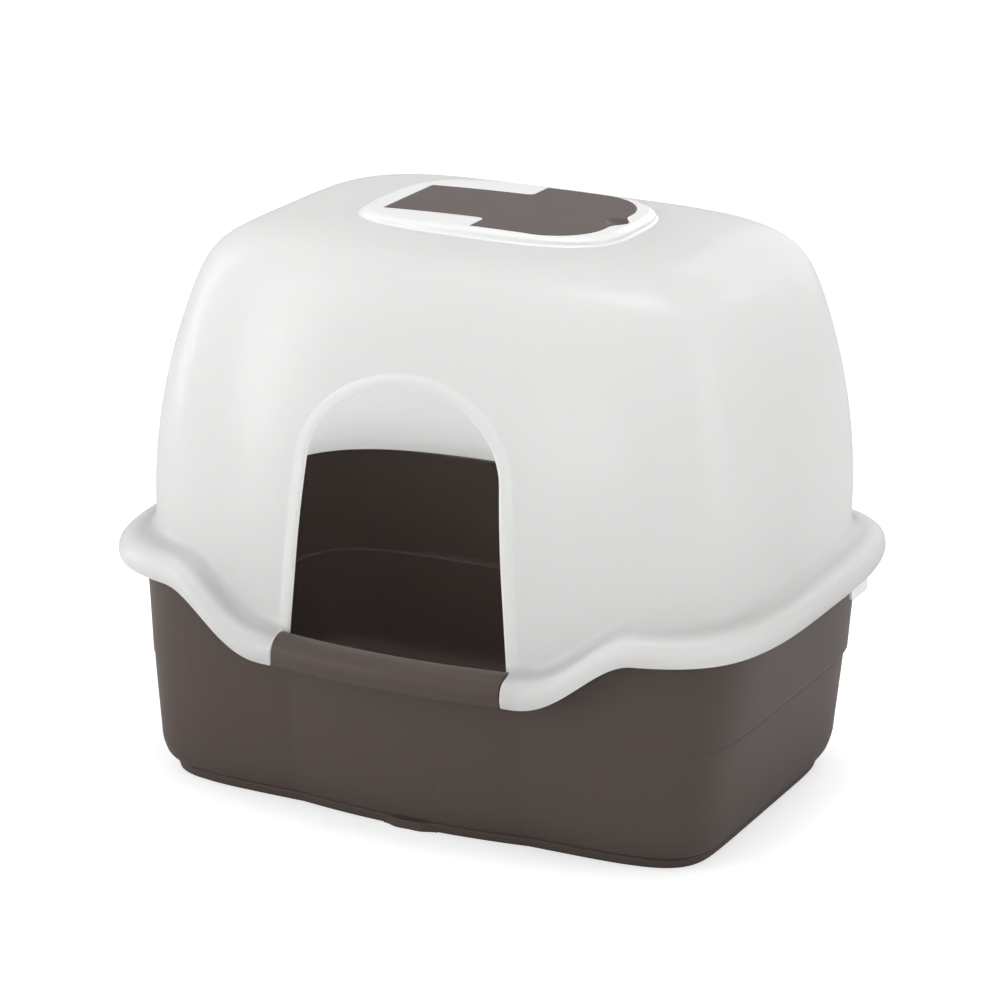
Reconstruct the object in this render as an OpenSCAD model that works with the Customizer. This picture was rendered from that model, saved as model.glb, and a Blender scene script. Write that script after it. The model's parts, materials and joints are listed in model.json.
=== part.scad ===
// Hooded cat litter box: a deep tray, a lift-off hood with an arched doorway,
// and a hinged hatch over the filter pocket in the hood's roof.
// Millimetres, +Z up. The origin is on the floor under the middle of the outline,
// and the doorway faces -Y.

/* [Overall] */
// Width over the hood's rim, left to right
rim_w = 580; // [480:5:690]
// Depth over the hood's rim, front to back
rim_d = 436; // [400:1:520]
// Height of the rim's lower edge above the floor, at the sides and back
rim_z = 183; // [150:1:220]
// Height of the middle of the roof above the floor
roof_z = 471; // [440:1:560]

/* [Hood] */
// Wall thickness of the hood
hood_wall = 2.5; // [2:0.25:3.5]
// How far the rim stands out from the foot of the hood's wall
rim_out = 25; // [22:0.2:30]
// How far the side walls lean in between the foot and the shoulder
lean_side = 31; // [10:1:40]
// How far the front and back walls lean in
lean_front = 31; // [10:1:40]
// Height of the rounded shoulder between wall and roof
shoulder_h = 62; // [45:1:75]
// Width of the shoulder at the left and right
shoulder_side = 98; // [80:1:110]
// Width of the shoulder at the front and back
shoulder_front = 56; // [45:1:65]
// Rise of the roof from its edge to its middle
roof_crown = 6.4; // [3:0.2:8]
// Squareness of the hood in plan: 2 is an ellipse
hood_square = 4.2; // [3.8:0.05:5]

/* [Doorway] */
// Width of the doorway where the arch begins
door_w = 169; // [140:1:180]
// Outward lean of the doorway's sides for each unit of height
jamb_lean = 0.08; // [0:0.01:0.1]
// Height of the top of the doorway above the floor
door_top_z = 368; // [330:1:385]
// Height of the arch itself
arch_rise = 68; // [55:1:90]
// How far the rim dips down towards the doorway
rim_dip = 47.5; // [30:0.5:60]
// Distance from the middle at which the dip ends
dip_out = 196; // [185:1:210]
// Width of the raised bead round the doorway
bead_w = 9; // [7:0.5:12]
// Height of the bead above the hood's wall
bead_h = 3.6; // [2:0.2:6]

/* [Tray] */
// Wall thickness of the tray
tray_wall = 3; // [2.5:0.25:4]
// Slope of the side walls, outward run for each unit of height
draft_side = 0.1; // [0.04:0.01:0.12]
// Slope of the front and back walls
draft_front = 0.14; // [0.06:0.01:0.16]
// Height of the ledge moulded round the sides and back
ledge_z = 103; // [80:1:115]
// Depth of that ledge
ledge_step = 1.6; // [1:0.2:3]
// Height of the foot ring
foot_h = 8; // [6:0.5:10]
// How far the foot ring stands in from the wall
foot_in = 9; // [6:0.5:10]
// Height of the sill's top above the lowest part of the rim
sill_h = 24; // [22:0.5:27]
// How far the middle of the front panel bows forward
panel_bow = 8.5; // [4:0.5:12]

/* [Roof hatch] */
// Length of the hatch's narrow part
neck_len = 90.7; // [75:0.1:95]
// Width of the narrow part
neck_w = 87; // [70:1:94]
// Length of the hatch's wide part
head_len = 94.5; // [80:0.1:98]
// Width of the wide part
head_w = 144; // [120:1:150]
// Thickness of the hatch
hatch_t = 2.5; // [2:0.25:3]
// Clearance round the hatch
hatch_gap = 0.7; // [0.4:0.1:1]
// Radius of the hinge pegs
peg_r = 1.5; // [1.2:0.1:1.8]
// Thickness of the filter
filter_t = 9; // [6:0.5:9]

/* [Hidden] */
white = "#efefed";
brown = "#665a54";
charcoal = "#2c2c2e";
lap = 1;
skin_set = 1.5;

// ---- Plan of the box -------------------------------------------------------
// Every ring of the shells has one point for each station round the plan. The
// tray's front stations keep their x, so the front panel's edges are upright.
foot_a = rim_w / 2 - rim_out;
foot_b = rim_d / 2 - rim_out;
// Half of what the sill stands out past the rim, to centre the whole
shift = (panel_bow - skin_set) / 2;
arch_z = door_top_z - arch_rise;
sill_z = rim_z - rim_dip + sill_h;
jamb_foot = door_w / 2 + jamb_lean * (arch_z - sill_z);
rim_end = jamb_foot + 4.9;
sill_end = rim_end - 1.2;
panel_half = rim_end + 0.5;
dip_in = rim_end + 3.5;
front_x = dip_out + 9;
panel_steps = 14;
wing_steps = 10;
side_steps = 20;
back_steps = 8;
function across(from, to, steps) = [for (i = [0:steps - 1]) from + (to - from) * i / steps];
front_xs = concat(
    across(-front_x, -panel_half, wing_steps),
    across(-panel_half, panel_half, panel_steps),
    across(panel_half, front_x, wing_steps)
);
turn_y = foot_b * pow(1 - pow(front_x / foot_a, hood_square), 1 / hood_square);
turn = atan2(turn_y, front_x);
turned = concat(
    [for (t = across(-turn, turn, side_steps)) [cos(t), sin(t)]],
    [for (x = across(front_x, -front_x, back_steps)) [x, turn_y]],
    [for (t = across(180 - turn, 180 + turn, side_steps)) [cos(t), sin(t)]]
);
fronts = len(front_xs);
around = fronts + len(turned);

// Station i of the superellipse |x/a|^n + |y/b|^n = 1, with the panel's x held or not
function station(a, b, n, i, held = false) = i < fronts
    ? let (w = held ? max(0, (abs(front_xs[i]) - panel_half) / (front_x - panel_half)) : 1)
      let (x = front_xs[i] * (1 + w * (a / foot_a - 1)))
      [x, -b * pow(1 - pow(abs(x) / a, n), 1 / n)]
    : let (u = [turned[i - fronts].x * a / foot_a, turned[i - fronts].y * b / foot_b])
      u / pow(pow(abs(u.x) / a, n) + pow(abs(u.y) / b, n), 1 / n);
// Outward unit normal of that superellipse at point p
function outward(a, b, n, p) =
    let (g = [sign(p.x) * pow(abs(p.x) / a, n - 1) / a, sign(p.y) * pow(abs(p.y) / b, n - 1) / b])
    g / norm(g);
// Smooth step from 0 at t = 0 to 1 at t = 1
function ease(t) = let (c = min(max(t, 0), 1)) c * c * (3 - 2 * c);

stations = [0:around - 1];
foot_line = [for (i = stations) station(foot_a, foot_b, hood_square, i)];
foot_normal = [for (p = foot_line) outward(foot_a, foot_b, hood_square, p)];
// Drop of the rim at plan point p: nothing at the sides and back, the whole dip
// beside the doorway, with an S-curve between that starts softly
dip_soft = 1.3;
function drop_at(p) = p.y > 0 ? 0 :
    -rim_dip * (1 - ease(pow(max(0, (abs(p.x) - dip_in) / (dip_out - dip_in)), dip_soft)));
drop = [for (p = foot_line) drop_at(p)];
// Forward bow of the front panel at plan point p
function bow(p) = p.y > 0 ? 0 : panel_bow * max(0, 1 - pow(p.x / panel_half, 2));

// A solid wrapped by rings of points, with flat ends
module wrapped(rings) {
    m = len(rings[0]);
    n = len(rings);
    polyhedron(
        points = [for (r = rings) each r],
        faces = concat(
            [[for (i = [0:m - 1]) i]],
            [for (k = [0:n - 2]) for (i = [0:m - 1])
                let (a = k * m + i, b = k * m + (i + 1) % m)
                each [[a, a + m, b], [b, a + m, b + m]]],
            [[for (i = [m - 1:-1:0]) (n - 1) * m + i]]
        )
    );
}

// ---- Hood ------------------------------------------------------------------
foot_rise = 40;
foot_z = rim_z + foot_rise;
shoulder_z = roof_z - shoulder_h;
square_gain = 0.75;
function climb(z) = max(0, (z - foot_z) / (shoulder_z - foot_z));
function wall_a(z) = foot_a - lean_side * pow(climb(z), 2);
function wall_b(z) = foot_b - lean_front * pow(climb(z), 2);
function wall_n(z) = hood_square + square_gain * climb(z);

// The rim reaches out further where the plan turns its corners
corner_gain = 0.29;
function rim_point(o, i) =
    let (turning = 2 * foot_normal[i].x * foot_normal[i].y)
    foot_line[i] + o * (1 + (o > 0 ? corner_gain * turning * turning : 0)) * foot_normal[i];
// Ring of the rim's section: o is outward from the foot line, h above the rim
function rim_ring(o, h) = [for (i = stations)
    let (p = rim_point(o, i)) [p.x, p.y, rim_z + h + drop[i]]];
// Ring of the wall a share s of the way up, drawn in by t
function wall_ring(s, t) = [for (i = stations)
    let (low = foot_z + drop[i], z = low + s * (shoulder_z - low))
    let (p = station(wall_a(z) - t, wall_b(z) - t, wall_n(z), i)) [p.x, p.y, z]];
// Run and rise of the shoulder a share v of the way from wall to roof: a cubic
// that leaves along the leaning wall and arrives along the crowned roof
wall_pull = 0.7;
roof_pull = 0.73;
shoulder_rise = shoulder_h - roof_crown;
function shoulder_at(v, width, lean, reach) =
    let (low = shoulder_rise * wall_pull * [2 * lean / (shoulder_z - foot_z), 1])
    let (high = [width * (1 - roof_pull), shoulder_rise - width * roof_pull * 2 * roof_crown / reach])
    3 * (1 - v) * (1 - v) * v * low + 3 * (1 - v) * v * v * high + v * v * v * [width, shoulder_rise];
edge_a = foot_a - lean_side;
edge_b = foot_b - lean_front;
roof_a = edge_a - shoulder_side;
roof_b = edge_b - shoulder_front;
function shoulder_ring(v, t) =
    let (side = shoulder_at(v, shoulder_side, lean_side, roof_a))
    let (front = shoulder_at(v, shoulder_front, lean_front, roof_b))
    let (z = shoulder_z + (side.y + front.y) / 2 * (1 - t / shoulder_rise))
    [for (i = stations)
        let (p = station(edge_a - t - side.x, edge_b - t - front.x, wall_n(shoulder_z), i)) [p.x, p.y, z]];
// Ring of the roof at a share s of the way from its middle to its edge
function roof_ring(s, t) = [for (i = stations)
    let (p = s * station(roof_a - t, roof_b - t, wall_n(shoulder_z), i))
    [p.x, p.y, roof_z - t - roof_crown * s * s]];

seat_h = 10.3;
rim_outside = [[rim_out - 2.4, 0], [rim_out - 0.3, 5], [rim_out, 10], [rim_out - 1.4, 16],
    [rim_out - 4.9, 20], [rim_out - 10, 21.8], [10.5, 23], [5, 25.6], [1.8, 29.6], [0.3, 34.5]];
rim_groove = [[rim_out - 4.8, 0], [rim_out - 5.9, 16.8], [6, 20], [5, 15.5], [8.8, seat_h]];
rim_inside = [[6, seat_h + 0.8], [1.6, seat_h + 4.4], [-1.2, seat_h + 9.5], [-hood_wall, seat_h + 16]];

module hood_shell() {
    wrapped(concat(
        [for (s = [0.35, 1]) roof_ring(s, hood_wall)],
        [for (v = [0.75:-0.25:0]) shoulder_ring(v, hood_wall)],
        [for (s = [0.8:-0.2:0]) wall_ring(s, hood_wall)],
        [for (i = [len(rim_inside) - 1:-1:0]) rim_ring(rim_inside[i].x, rim_inside[i].y)],
        [for (i = [len(rim_groove) - 1:-1:0]) rim_ring(rim_groove[i].x, rim_groove[i].y)],
        [for (r = rim_outside) rim_ring(r.x, r.y)],
        [for (s = [0:0.2:0.8]) wall_ring(s, 0)],
        [for (v = [0:0.143:1]) shoulder_ring(v, 0)],
        [for (s = [1, 0.35]) roof_ring(s, 0)]
    ));
}

// ---- Doorway ---------------------------------------------------------------
arch_steps = 24;
jamb_steps = 4;
tangent = atan(jamb_lean * arch_rise / (door_w / 2));
arch_points = [for (i = [0:arch_steps]) let (t = tangent + (180 - 2 * tangent) * i / arch_steps)
    [door_w / 2 * cos(t), arch_z + arch_rise * sin(t)]];
spring = arch_points[0];
function jamb_x(z) = spring.x + jamb_lean * (spring.y - z);
bead_foot = sill_z + 0.5;
jamb_zs = across(bead_foot, spring.y, jamb_steps);
door_line = concat(
    [for (z = jamb_zs) [jamb_x(z), z]],
    arch_points,
    [for (i = [jamb_steps - 1:-1:0]) [-jamb_x(jamb_zs[i]), jamb_zs[i]]]
);
door_points = len(door_line);
// Unit normal of the door line at point j, away from the opening
function door_normal(j) =
    let (q = door_line[min(j + 1, door_points - 1)] - door_line[max(j - 1, 0)])
    [q.y, -q.x] / norm(q);
// Front face of the hood's wall at x and height z
function front_y(x, z) = -wall_b(z) * pow(1 - pow(abs(x) / wall_a(z), wall_n(z)), 1 / wall_n(z));

module doorway_cut() {
    rotate([90, 0, 0])
    linear_extrude(rim_d)
    polygon(door_line);
    translate([-rim_end, -rim_d, 0])
    cube([2 * rim_end, rim_d, sill_z + 0.8]);
}
// Bead section: u away from the opening, v out from the wall
bead_back = hood_wall + 1.7;
bead_section = [[-0.8, -bead_back], [-0.8, bead_h * 0.4], [0.3, bead_h * 0.84], [2.2, bead_h],
    [bead_w * 0.58, bead_h * 0.86], [bead_w * 0.84, bead_h * 0.45], [bead_w, -1.2],
    [1.4, -1.3], [1.4, -bead_back]];
module doorway_bead() {
    wrapped([for (j = [0:door_points - 1]) let (p = door_line[j], q = door_normal(j))
        [for (s = bead_section) let (x = p.x + s.x * q.x, z = p.y + s.x * q.y)
            [x, front_y(x, z) - s.y, z]]]);
}

// ---- Roof hatch ------------------------------------------------------------
pad_z = roof_z + 3.6;
pad_x = -2;
pad_a = 113;
pad_b = 80.5;
pad_square = 3.5;
pad_steps = 60;
pad_lap = 3;
// Section of the pad's edge: inset from its outline and height against its top
pad_section = [[0, -3.4], [-1.2, -2], [-5, 0]];
crown_r = 2500;
crown_x = 24;
crown_half = 150;
crown_steps = 16;
neck_end = -91.5;
step_x = neck_end + neck_len;
head_end = step_x + head_len;
fillet = 6;
corner_x = 26;
corner_y = 45;
tab_reach = 9.5;
tab_half = 12;
ledge_w = 5;
hinge_x = neck_end + 10;
hinge_gap = 1;
hinge_drop = 3.4;
hinge_z = pad_z - sag(hinge_x) - hinge_drop;
ear_r = 2.6;
peg_len = 3;
running_fit = 0.08;

// Half of the hatch's outline, grown by g, with its tab reaching out by reach
function half_outline(g, reach) =
    let (wide = head_w / 2 + g, narrow = neck_w / 2 + g, round_in = fillet - g)
    let (back = step_x - g, cy = head_w / 2 - corner_y)
    concat(
        [[neck_end - g, -narrow]],
        [for (t = [90:-22.5:0]) [back + round_in * (cos(t) - 1), -narrow + round_in * (sin(t) - 1)]],
        [[back, -wide]],
        [for (t = [-90:15:0]) [head_end - corner_x + (corner_x + g) * cos(t), -cy + (corner_y + g) * sin(t)]],
        reach > 0 ? [[head_end + g, -tab_half - g - 3], [head_end + reach * 0.7 + g, -tab_half - g],
            [head_end + reach + g, -tab_half + 4 - g]] : []
    );
function outline(g, reach) =
    let (half = half_outline(g, reach))
    concat(half, [for (i = [len(half) - 1:-1:0]) [half[i].x, -half[i].y]]);

// Fall of the pad's top from its highest line to x, along an arc
function sag(x) = crown_r - sqrt(crown_r * crown_r - (x - crown_x) * (x - crown_x));
// Everything under the crowned surface that lies depth below the pad's top
module under_crown(depth) {
    rotate([90, 0, 0])
    linear_extrude(rim_d, center = true)
    polygon(concat(
        [[-crown_half, 0]],
        [for (i = [0:crown_steps]) let (x = crown_half * (2 * i / crown_steps - 1))
            [x, pad_z - depth - sag(x)]],
        [[crown_half, 0]]
    ));
}
module column(points, low, high) {
    translate([0, 0, low])
    linear_extrude(high - low)
    polygon(points);
}
function pad_outline(g) = [for (i = [0:pad_steps - 1])
    let (u = [cos(360 * i / pad_steps), sin(360 * i / pad_steps)])
    let (r = pow(abs(u.x) / (pad_a + g), pad_square) + pow(abs(u.y) / (pad_b + g), pad_square))
    [pad_x, 0] + u / pow(r, 1 / pad_square)];
module roof_pad() {
    wrapped(concat(
        [[for (p = pad_outline(0)) [p.x, p.y, roof_z - roof_crown - lap]]],
        [for (e = pad_section) [for (p = pad_outline(e.x)) [p.x, p.y, pad_z + e.y - sag(p.x)]]],
        [[for (p = pad_outline(0)) [p.x / 2, p.y / 2, pad_z - sag(p.x / 2)]]]
    ));
}
module across_y(x, z, r, from, to) {
    translate([x, to, z])
    rotate([90, 0, 0])
    cylinder(r = r, h = to - from, $fn = 48);
}

filter_lift = 0.3;
pocket_depth = 20;
pocket_wall = 2;
pocket_z = pad_z - pocket_depth;
recess_depth = hatch_t + 0.5;
recess_half = neck_w / 2 + hatch_gap + 0.2;
tail_space = 3.6;
slot_count = 6;
slot_w = 6;
slot_pitch = 13;
slot_half = 50;
slot_x = step_x + 12;
// The pocket's hollow, or with grow its outer walls, from low to high
module pocket(grow, low, high) {
    column(outline(grow - ledge_w, 0), low, high);
    translate([neck_end - hinge_gap - grow, -recess_half - grow, low])
    cube([hinge_x + tail_space - neck_end + hinge_gap + 2 * grow, 2 * (recess_half + grow), high - low]);
}
module hatch_recess() {
    difference() {
        column(outline(hatch_gap, tab_reach), pad_z - 3 * recess_depth, pad_z + lap);
        under_crown(recess_depth);
    }
    pocket(0, pocket_z, pad_z + lap);
    dish_seat(hatch_gap);
    for (i = [0:slot_count - 1])
        translate([slot_x + i * slot_pitch, -slot_half, pocket_z - 2 * pocket_wall])
        cube([slot_w, 2 * slot_half, 3 * pocket_wall]);
    for (side = [-1, 1])
        scale([1, side, 1])
        across_y(hinge_x, hinge_z, peg_r + running_fit, recess_half - lap, neck_w / 2 + peg_len + 0.4);
}

// ---- Side tabs -------------------------------------------------------------
tab_drop = 8;
tab_from = 45;
tab_to = 80;
tab_wall = 2.4;
tab_corner = 4;
module side_tabs() {
    for (side = [-1, 1])
        translate([side * (rim_w / 2 - 3.8), 0, rim_z + 3])
        rotate([90, 0, 90])
        linear_extrude(tab_wall, center = true)
        polygon([[tab_from, 0], [tab_from, -tab_drop - 3 + tab_corner],
            [tab_from + tab_corner, -tab_drop - 3], [tab_to - tab_corner, -tab_drop - 3],
            [tab_to, -tab_drop - 3 + tab_corner], [tab_to, 0]]);
}

// The pad with its pocket, recess and hinge sockets
module pad_body() {
    difference() {
        union() {
            roof_pad();
            pocket(pocket_wall, pocket_z - pocket_wall, roof_z - roof_crown + lap);
        }
        hatch_recess();
    }
}
module hood() {
    color(white)
    translate([0, shift, 0])
    union() {
        difference() {
            hood_shell();
            doorway_cut();
            column(pad_outline(-pad_lap), roof_z - 3 * roof_crown, pad_z + lap);
        }
        doorway_bead();
        side_tabs();
        pad_body();
    }
}

// ---- Hatch -----------------------------------------------------------------
rib_inset = ledge_w + 1.2;
rib_wall = 1.6;
rib_depth = 9;
rib_x = step_x + 14;
dish_r = 20;
dish_x = head_end + 1.5;
dish_z = pad_z - sag(dish_x);
dish_depth = 3;
dish_pad = 2.2;
dish_half = 7.6;
// The thickening under the finger dish, grown by g
module dish_seat(g) {
    translate([dish_x - dish_half - g, -dish_half - g, dish_z - hatch_t - dish_pad - g])
    cube([2 * (dish_half + g), 2 * (dish_half + g), dish_pad + g + lap]);
}
module roof_hatch() {
    color(brown)
    translate([0, shift, 0])
    difference() {
        union() {
            intersection() {
                column(outline(0, tab_reach), pad_z - 3 * recess_depth, pad_z + lap);
                difference() {
                    under_crown(0);
                    under_crown(hatch_t);
                }
            }
            intersection() {
                difference() {
                    column(outline(-rib_inset, 0), pad_z - rib_depth, pad_z);
                    column(outline(-rib_inset - rib_wall, 0), pad_z - rib_depth - lap, pad_z + lap);
                    translate([neck_end, -head_w / 2, pad_z - rib_depth - lap])
                    cube([rib_x - neck_end, head_w, rib_depth + 2 * lap]);
                }
                under_crown(hatch_t / 2);
            }
            dish_seat(0);
            for (side = [-1, 1])
                scale([1, side, 1]) {
                    across_y(hinge_x, hinge_z, ear_r, neck_w / 2 - 4, neck_w / 2);
                    across_y(hinge_x, hinge_z, peg_r, neck_w / 2 - 2, neck_w / 2 + peg_len);
                }
        }
        translate([dish_x, 0, dish_z - dish_depth + dish_r])
        sphere(r = dish_r, $fn = 64);
    }
}

// ---- Filter ----------------------------------------------------------------
filter_inset = ledge_w + 1;
module carbon_filter() {
    color(charcoal)
    translate([0, shift, 0])
    intersection() {
        column(outline(-filter_inset, 0), pocket_z + filter_lift, pocket_z + filter_lift + filter_t);
        translate([step_x + filter_inset, -head_w / 2, 0])
        cube([head_len, head_w, pad_z]);
    }
}

// ---- Tray ------------------------------------------------------------------
side_tuck = -1.5;
front_tuck = 1.8;
foot_square = 8;
top_square = 5.2;
floor_t = 3;
floor_rise = 4.5;
corner_r = 20;
ledge_half = 1;
ledge_fade = 60;
flange_h = seat_h - 0.3;
flange_t = 3;
flange_out = rim_out - 6.3;
function tray_a(z) = foot_a - side_tuck - draft_side * (rim_z - z);
function tray_b(z) = foot_b - front_tuck - draft_front * (rim_z - z);
function tray_n(z) = foot_square + (top_square - foot_square) * z / rim_z;
// Ring of the tray's wall at height z, drawn in by t, below the ledge or not
function tray_ring(z, t, below) = [for (i = stations)
    let (p = station(tray_a(z) - t, tray_b(z) - t, tray_n(z), i, true))
    let (in = below ? ledge_step * ease((p.y + tray_b(z)) / ledge_fade) : 0)
    let (q = station(tray_a(z) - t - in, tray_b(z) - t - in, tray_n(z), i, true))
    [q.x, q.y - bow(q), z]];
// Distance out from foot line point i to the wall at height z drawn in by t
function wall_reach(z, t, i) =
    let (a = tray_a(z) - t, b = tray_b(z) - t, n = tray_n(z), p = foot_line[i])
    let (r = pow(pow(abs(p.x) / a, n) + pow(abs(p.y) / b, n), 1 / n))
    let (slope = [sign(p.x) * pow(abs(p.x) / a / r, n - 1) / a, sign(p.y) * pow(abs(p.y) / b / r, n - 1) / b])
    (1 - r) / (slope * foot_normal[i]);
function tray_top(h, t) = [for (i = stations)
    let (z = rim_z + h + drop[i], p = foot_line[i] + wall_reach(z, t, i) * foot_normal[i])
    [p.x, p.y - bow(p), z]];
function flange_ring(o, h) = [for (i = stations)
    let (p = rim_point(o, i)) [p.x, p.y - bow(p), rim_z + h + drop[i]]];
foot_wall = 4;
// Section of the bottom edge: height and how far it stands in from the wall
base_profile = [[floor_rise, foot_in + foot_wall + 0.8], [0, foot_in + foot_wall],
    [0, foot_in + 0.8], [0.8, foot_in], [foot_h - 0.4, foot_in - 1.2], [foot_h, foot_in - 0.8],
    [foot_h + 0.2, foot_in + 0.9], [foot_h + 0.8, foot_in - 0.6], [foot_h + 3.5, 4.2],
    [foot_h + 9, 2], [foot_h + 20, 0]];
module tray_shell() {
    floor_z = floor_rise + floor_t;
    wrapped(concat(
        [for (e = base_profile) tray_ring(e.x, e.y, true)],
        [tray_ring(ledge_z - ledge_half, 0, true), tray_ring(ledge_z + ledge_half, 0, false)],
        [tray_top(flange_h - flange_t, 0)],
        [flange_ring(flange_out - 2.2, flange_h - flange_t), flange_ring(flange_out - 2.2, 1),
            flange_ring(flange_out, 1), flange_ring(flange_out, flange_h - 1.2),
            flange_ring(flange_out - 1.2, flange_h)],
        [tray_top(flange_h, tray_wall)],
        [tray_ring(ledge_z + ledge_half, tray_wall, false), tray_ring(ledge_z - ledge_half, tray_wall, true)],
        [for (t = [0:30:90])
            tray_ring(floor_z + corner_r * (1 - sin(t)), tray_wall + corner_r * (1 - cos(t)), true)]
    ));
}

well_o = -front_tuck - draft_front * (rim_dip - 8);
sill_wall = 2.6;
sill_section = [[rim_out - 4, 0.3], [rim_out - 2, 4], [rim_out - skin_set, 10], [rim_out - 2.6, 15.5],
    [rim_out - 6, 20], [rim_out - 11, sill_h - 1], [rim_out - 16, sill_h], [rim_out - 22, sill_h - 0.6],
    [-2.5, sill_h - 4], [well_o - 2.2, 15], [well_o - tray_wall + 0.1, 8], [well_o - tray_wall - 0.3, 3],
    [well_o - 0.6, 3], [well_o - 0.4, 8], [well_o + 0.8, 14], [-0.5, sill_h - 6.4],
    [rim_out - 22, sill_h - 3.2], [rim_out - 16, sill_h - sill_wall], [rim_out - 11.5, sill_h - 3.6],
    [rim_out - 7.6, 18.2], [rim_out - 5, 14.8], [rim_out - 4.1, 10], [rim_out - 4.6, 4.6],
    [rim_out - 6.2, 1.2]];
sill_steps = 16;
module sill() {
    wrapped([for (k = [0:sill_steps]) let (x = sill_end * (1 - 2 * k / sill_steps))
        let (y = -foot_b * pow(1 - pow(abs(x) / foot_a, hood_square), 1 / hood_square) - bow([x, -1]))
        [for (e = sill_section) [x, y - e.x, rim_z - rim_dip + e.y]]]);
}

toe_half = 24;
toe_reach = 4.6;
module toe() {
    front = -(tray_b(0) - foot_in + panel_bow);
    linear_extrude(foot_h - 0.4)
    polygon([[-toe_half, front + 3], [-toe_half, front], [-0.7 * toe_half, front - 0.65 * toe_reach],
        [-0.35 * toe_half, front - toe_reach], [0.35 * toe_half, front - toe_reach],
        [0.7 * toe_half, front - 0.65 * toe_reach], [toe_half, front], [toe_half, front + 3]]);
}

module litter_tray() {
    color(brown)
    translate([0, shift, 0])
    resize([2 * (foot_a + flange_out), 0, 0]) {
        tray_shell();
        sill();
        toe();
    }
}

litter_tray();
hood();
roof_hatch();
carbon_filter();
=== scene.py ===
"""Looks of a hooded cat litter box: a deep tray, a lift-off hood with an arched doorway, and a
hinged hatch over the filter pocket in the hood's roof.

Metres, +Z up. The origin is on the floor under the middle of the outline and the doorway faces -Y.
Each surface is a numpy grid whose formula stands in its docstring, and every piece rides on the
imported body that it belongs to.
"""

import json
import logging
import math
from dataclasses import dataclass
from enum import Enum

import bmesh
import bpy
import numpy as np
from mathutils import Matrix, Vector


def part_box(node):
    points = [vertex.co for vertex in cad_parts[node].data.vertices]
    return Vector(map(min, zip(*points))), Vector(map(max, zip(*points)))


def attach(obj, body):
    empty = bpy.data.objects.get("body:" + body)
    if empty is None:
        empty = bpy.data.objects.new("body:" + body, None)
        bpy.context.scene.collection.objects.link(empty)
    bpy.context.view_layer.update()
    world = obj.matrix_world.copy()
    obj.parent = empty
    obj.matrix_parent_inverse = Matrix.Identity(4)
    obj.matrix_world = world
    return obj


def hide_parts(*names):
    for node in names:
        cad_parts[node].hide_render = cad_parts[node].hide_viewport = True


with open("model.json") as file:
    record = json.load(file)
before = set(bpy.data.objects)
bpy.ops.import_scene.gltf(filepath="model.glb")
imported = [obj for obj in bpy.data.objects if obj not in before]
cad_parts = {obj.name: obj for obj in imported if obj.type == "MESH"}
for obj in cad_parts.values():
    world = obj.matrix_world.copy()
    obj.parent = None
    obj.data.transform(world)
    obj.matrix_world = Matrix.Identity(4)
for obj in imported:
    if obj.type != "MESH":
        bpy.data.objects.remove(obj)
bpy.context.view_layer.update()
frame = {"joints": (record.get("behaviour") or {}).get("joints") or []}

LOG = logging.getLogger("litter_box")
MM = 0.001
Array = np.ndarray
Color = tuple[float, float, float]
Feed = float | bpy.types.NodeSocket


class Body(Enum):
    """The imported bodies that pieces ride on."""

    TRAY = "tray"
    HOOD = "hood"
    HATCH = "hatch"


class Slot(Enum):
    """The record's material slots."""

    TRAY = "tray_plastic"
    HOOD = "hood_plastic"
    HATCH = "hatch_plastic"
    FILTER = "filter_felt"


# ---- Shape functions ---------------------------------------------------------


def ease(t: Array) -> Array:
    """Smooth step: 0 up to t = 0, 1 from t = 1, and 3t^2 - 2t^3 between."""
    c = np.clip(t, 0.0, 1.0)
    return c * c * (3.0 - 2.0 * c)


def curve_through(points: list[tuple[float, float]], steps: int, closed: bool = False) -> Array:
    """Catmull-Rom curve through points: between two points it is the cubic whose slope at each
    is half the step from the point before to the point after.

    Args:
        points: The points, in millimetres.
        steps: Samples for each span.
        closed: Whether the curve joins up with its start.

    Returns:
        The samples in metres, one row each.
    """
    p = np.asarray(points, float) * MM
    if closed:
        ends = np.vstack([p[-1:], p, p[:2]])
        spans = len(p)
    else:
        ends = np.vstack([2 * p[0] - p[1], p, 2 * p[-1] - p[-2]])
        spans = len(p) - 1
    a, b, c, d = (ends[k : k + spans][:, None, :] for k in range(4))
    t = (np.arange(steps) / steps)[None, :, None]
    q = 0.5 * (2 * b + (c - a) * t + (2 * a - 5 * b + 4 * c - d) * t**2 + (3 * b - 3 * c + d - a) * t**3)
    q = q.reshape(-1, p.shape[1])
    return q if closed else np.vstack([q, p[-1:]])


def superellipse_radius(x: Array, y: Array, a: Array, b: Array, n: Array) -> Array:
    """Share of the way from the centre to the superellipse: (|x/a|^n + |y/b|^n)^(1/n)."""
    return (np.abs(x / a) ** n + np.abs(y / b) ** n) ** (1.0 / n)


def arc(cx: float, cy: float, rx: float, ry: float, start: float, stop: float, steps: int) -> Array:
    """Elliptical arc about (cx, cy) from angle start to stop in degrees, both ends included."""
    t = np.radians(np.linspace(start, stop, steps + 1))
    return np.column_stack([cx + rx * np.cos(t), cy + ry * np.sin(t)])


def with_height(plan: Array, z: Array | float) -> Array:
    """Plan points with a height each, as rows of x, y, z."""
    return np.column_stack([plan, np.broadcast_to(z, len(plan))])


def between(first: Array, last: Array, rows: int) -> list[Array]:
    """Rings ruled straight between two rings, leaving out both."""
    return [first + (last - first) * k / (rows + 1) for k in range(1, rows + 1)]


@dataclass
class Surface:
    """Vertices and quads of a closed mesh."""

    points: Array
    quads: Array

    def joined(self, other: "Surface") -> "Surface":
        """Both surfaces in one mesh."""
        quads = np.vstack([self.quads, other.quads + len(self.points)])
        return Surface(np.vstack([self.points, other.points]), quads)


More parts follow.
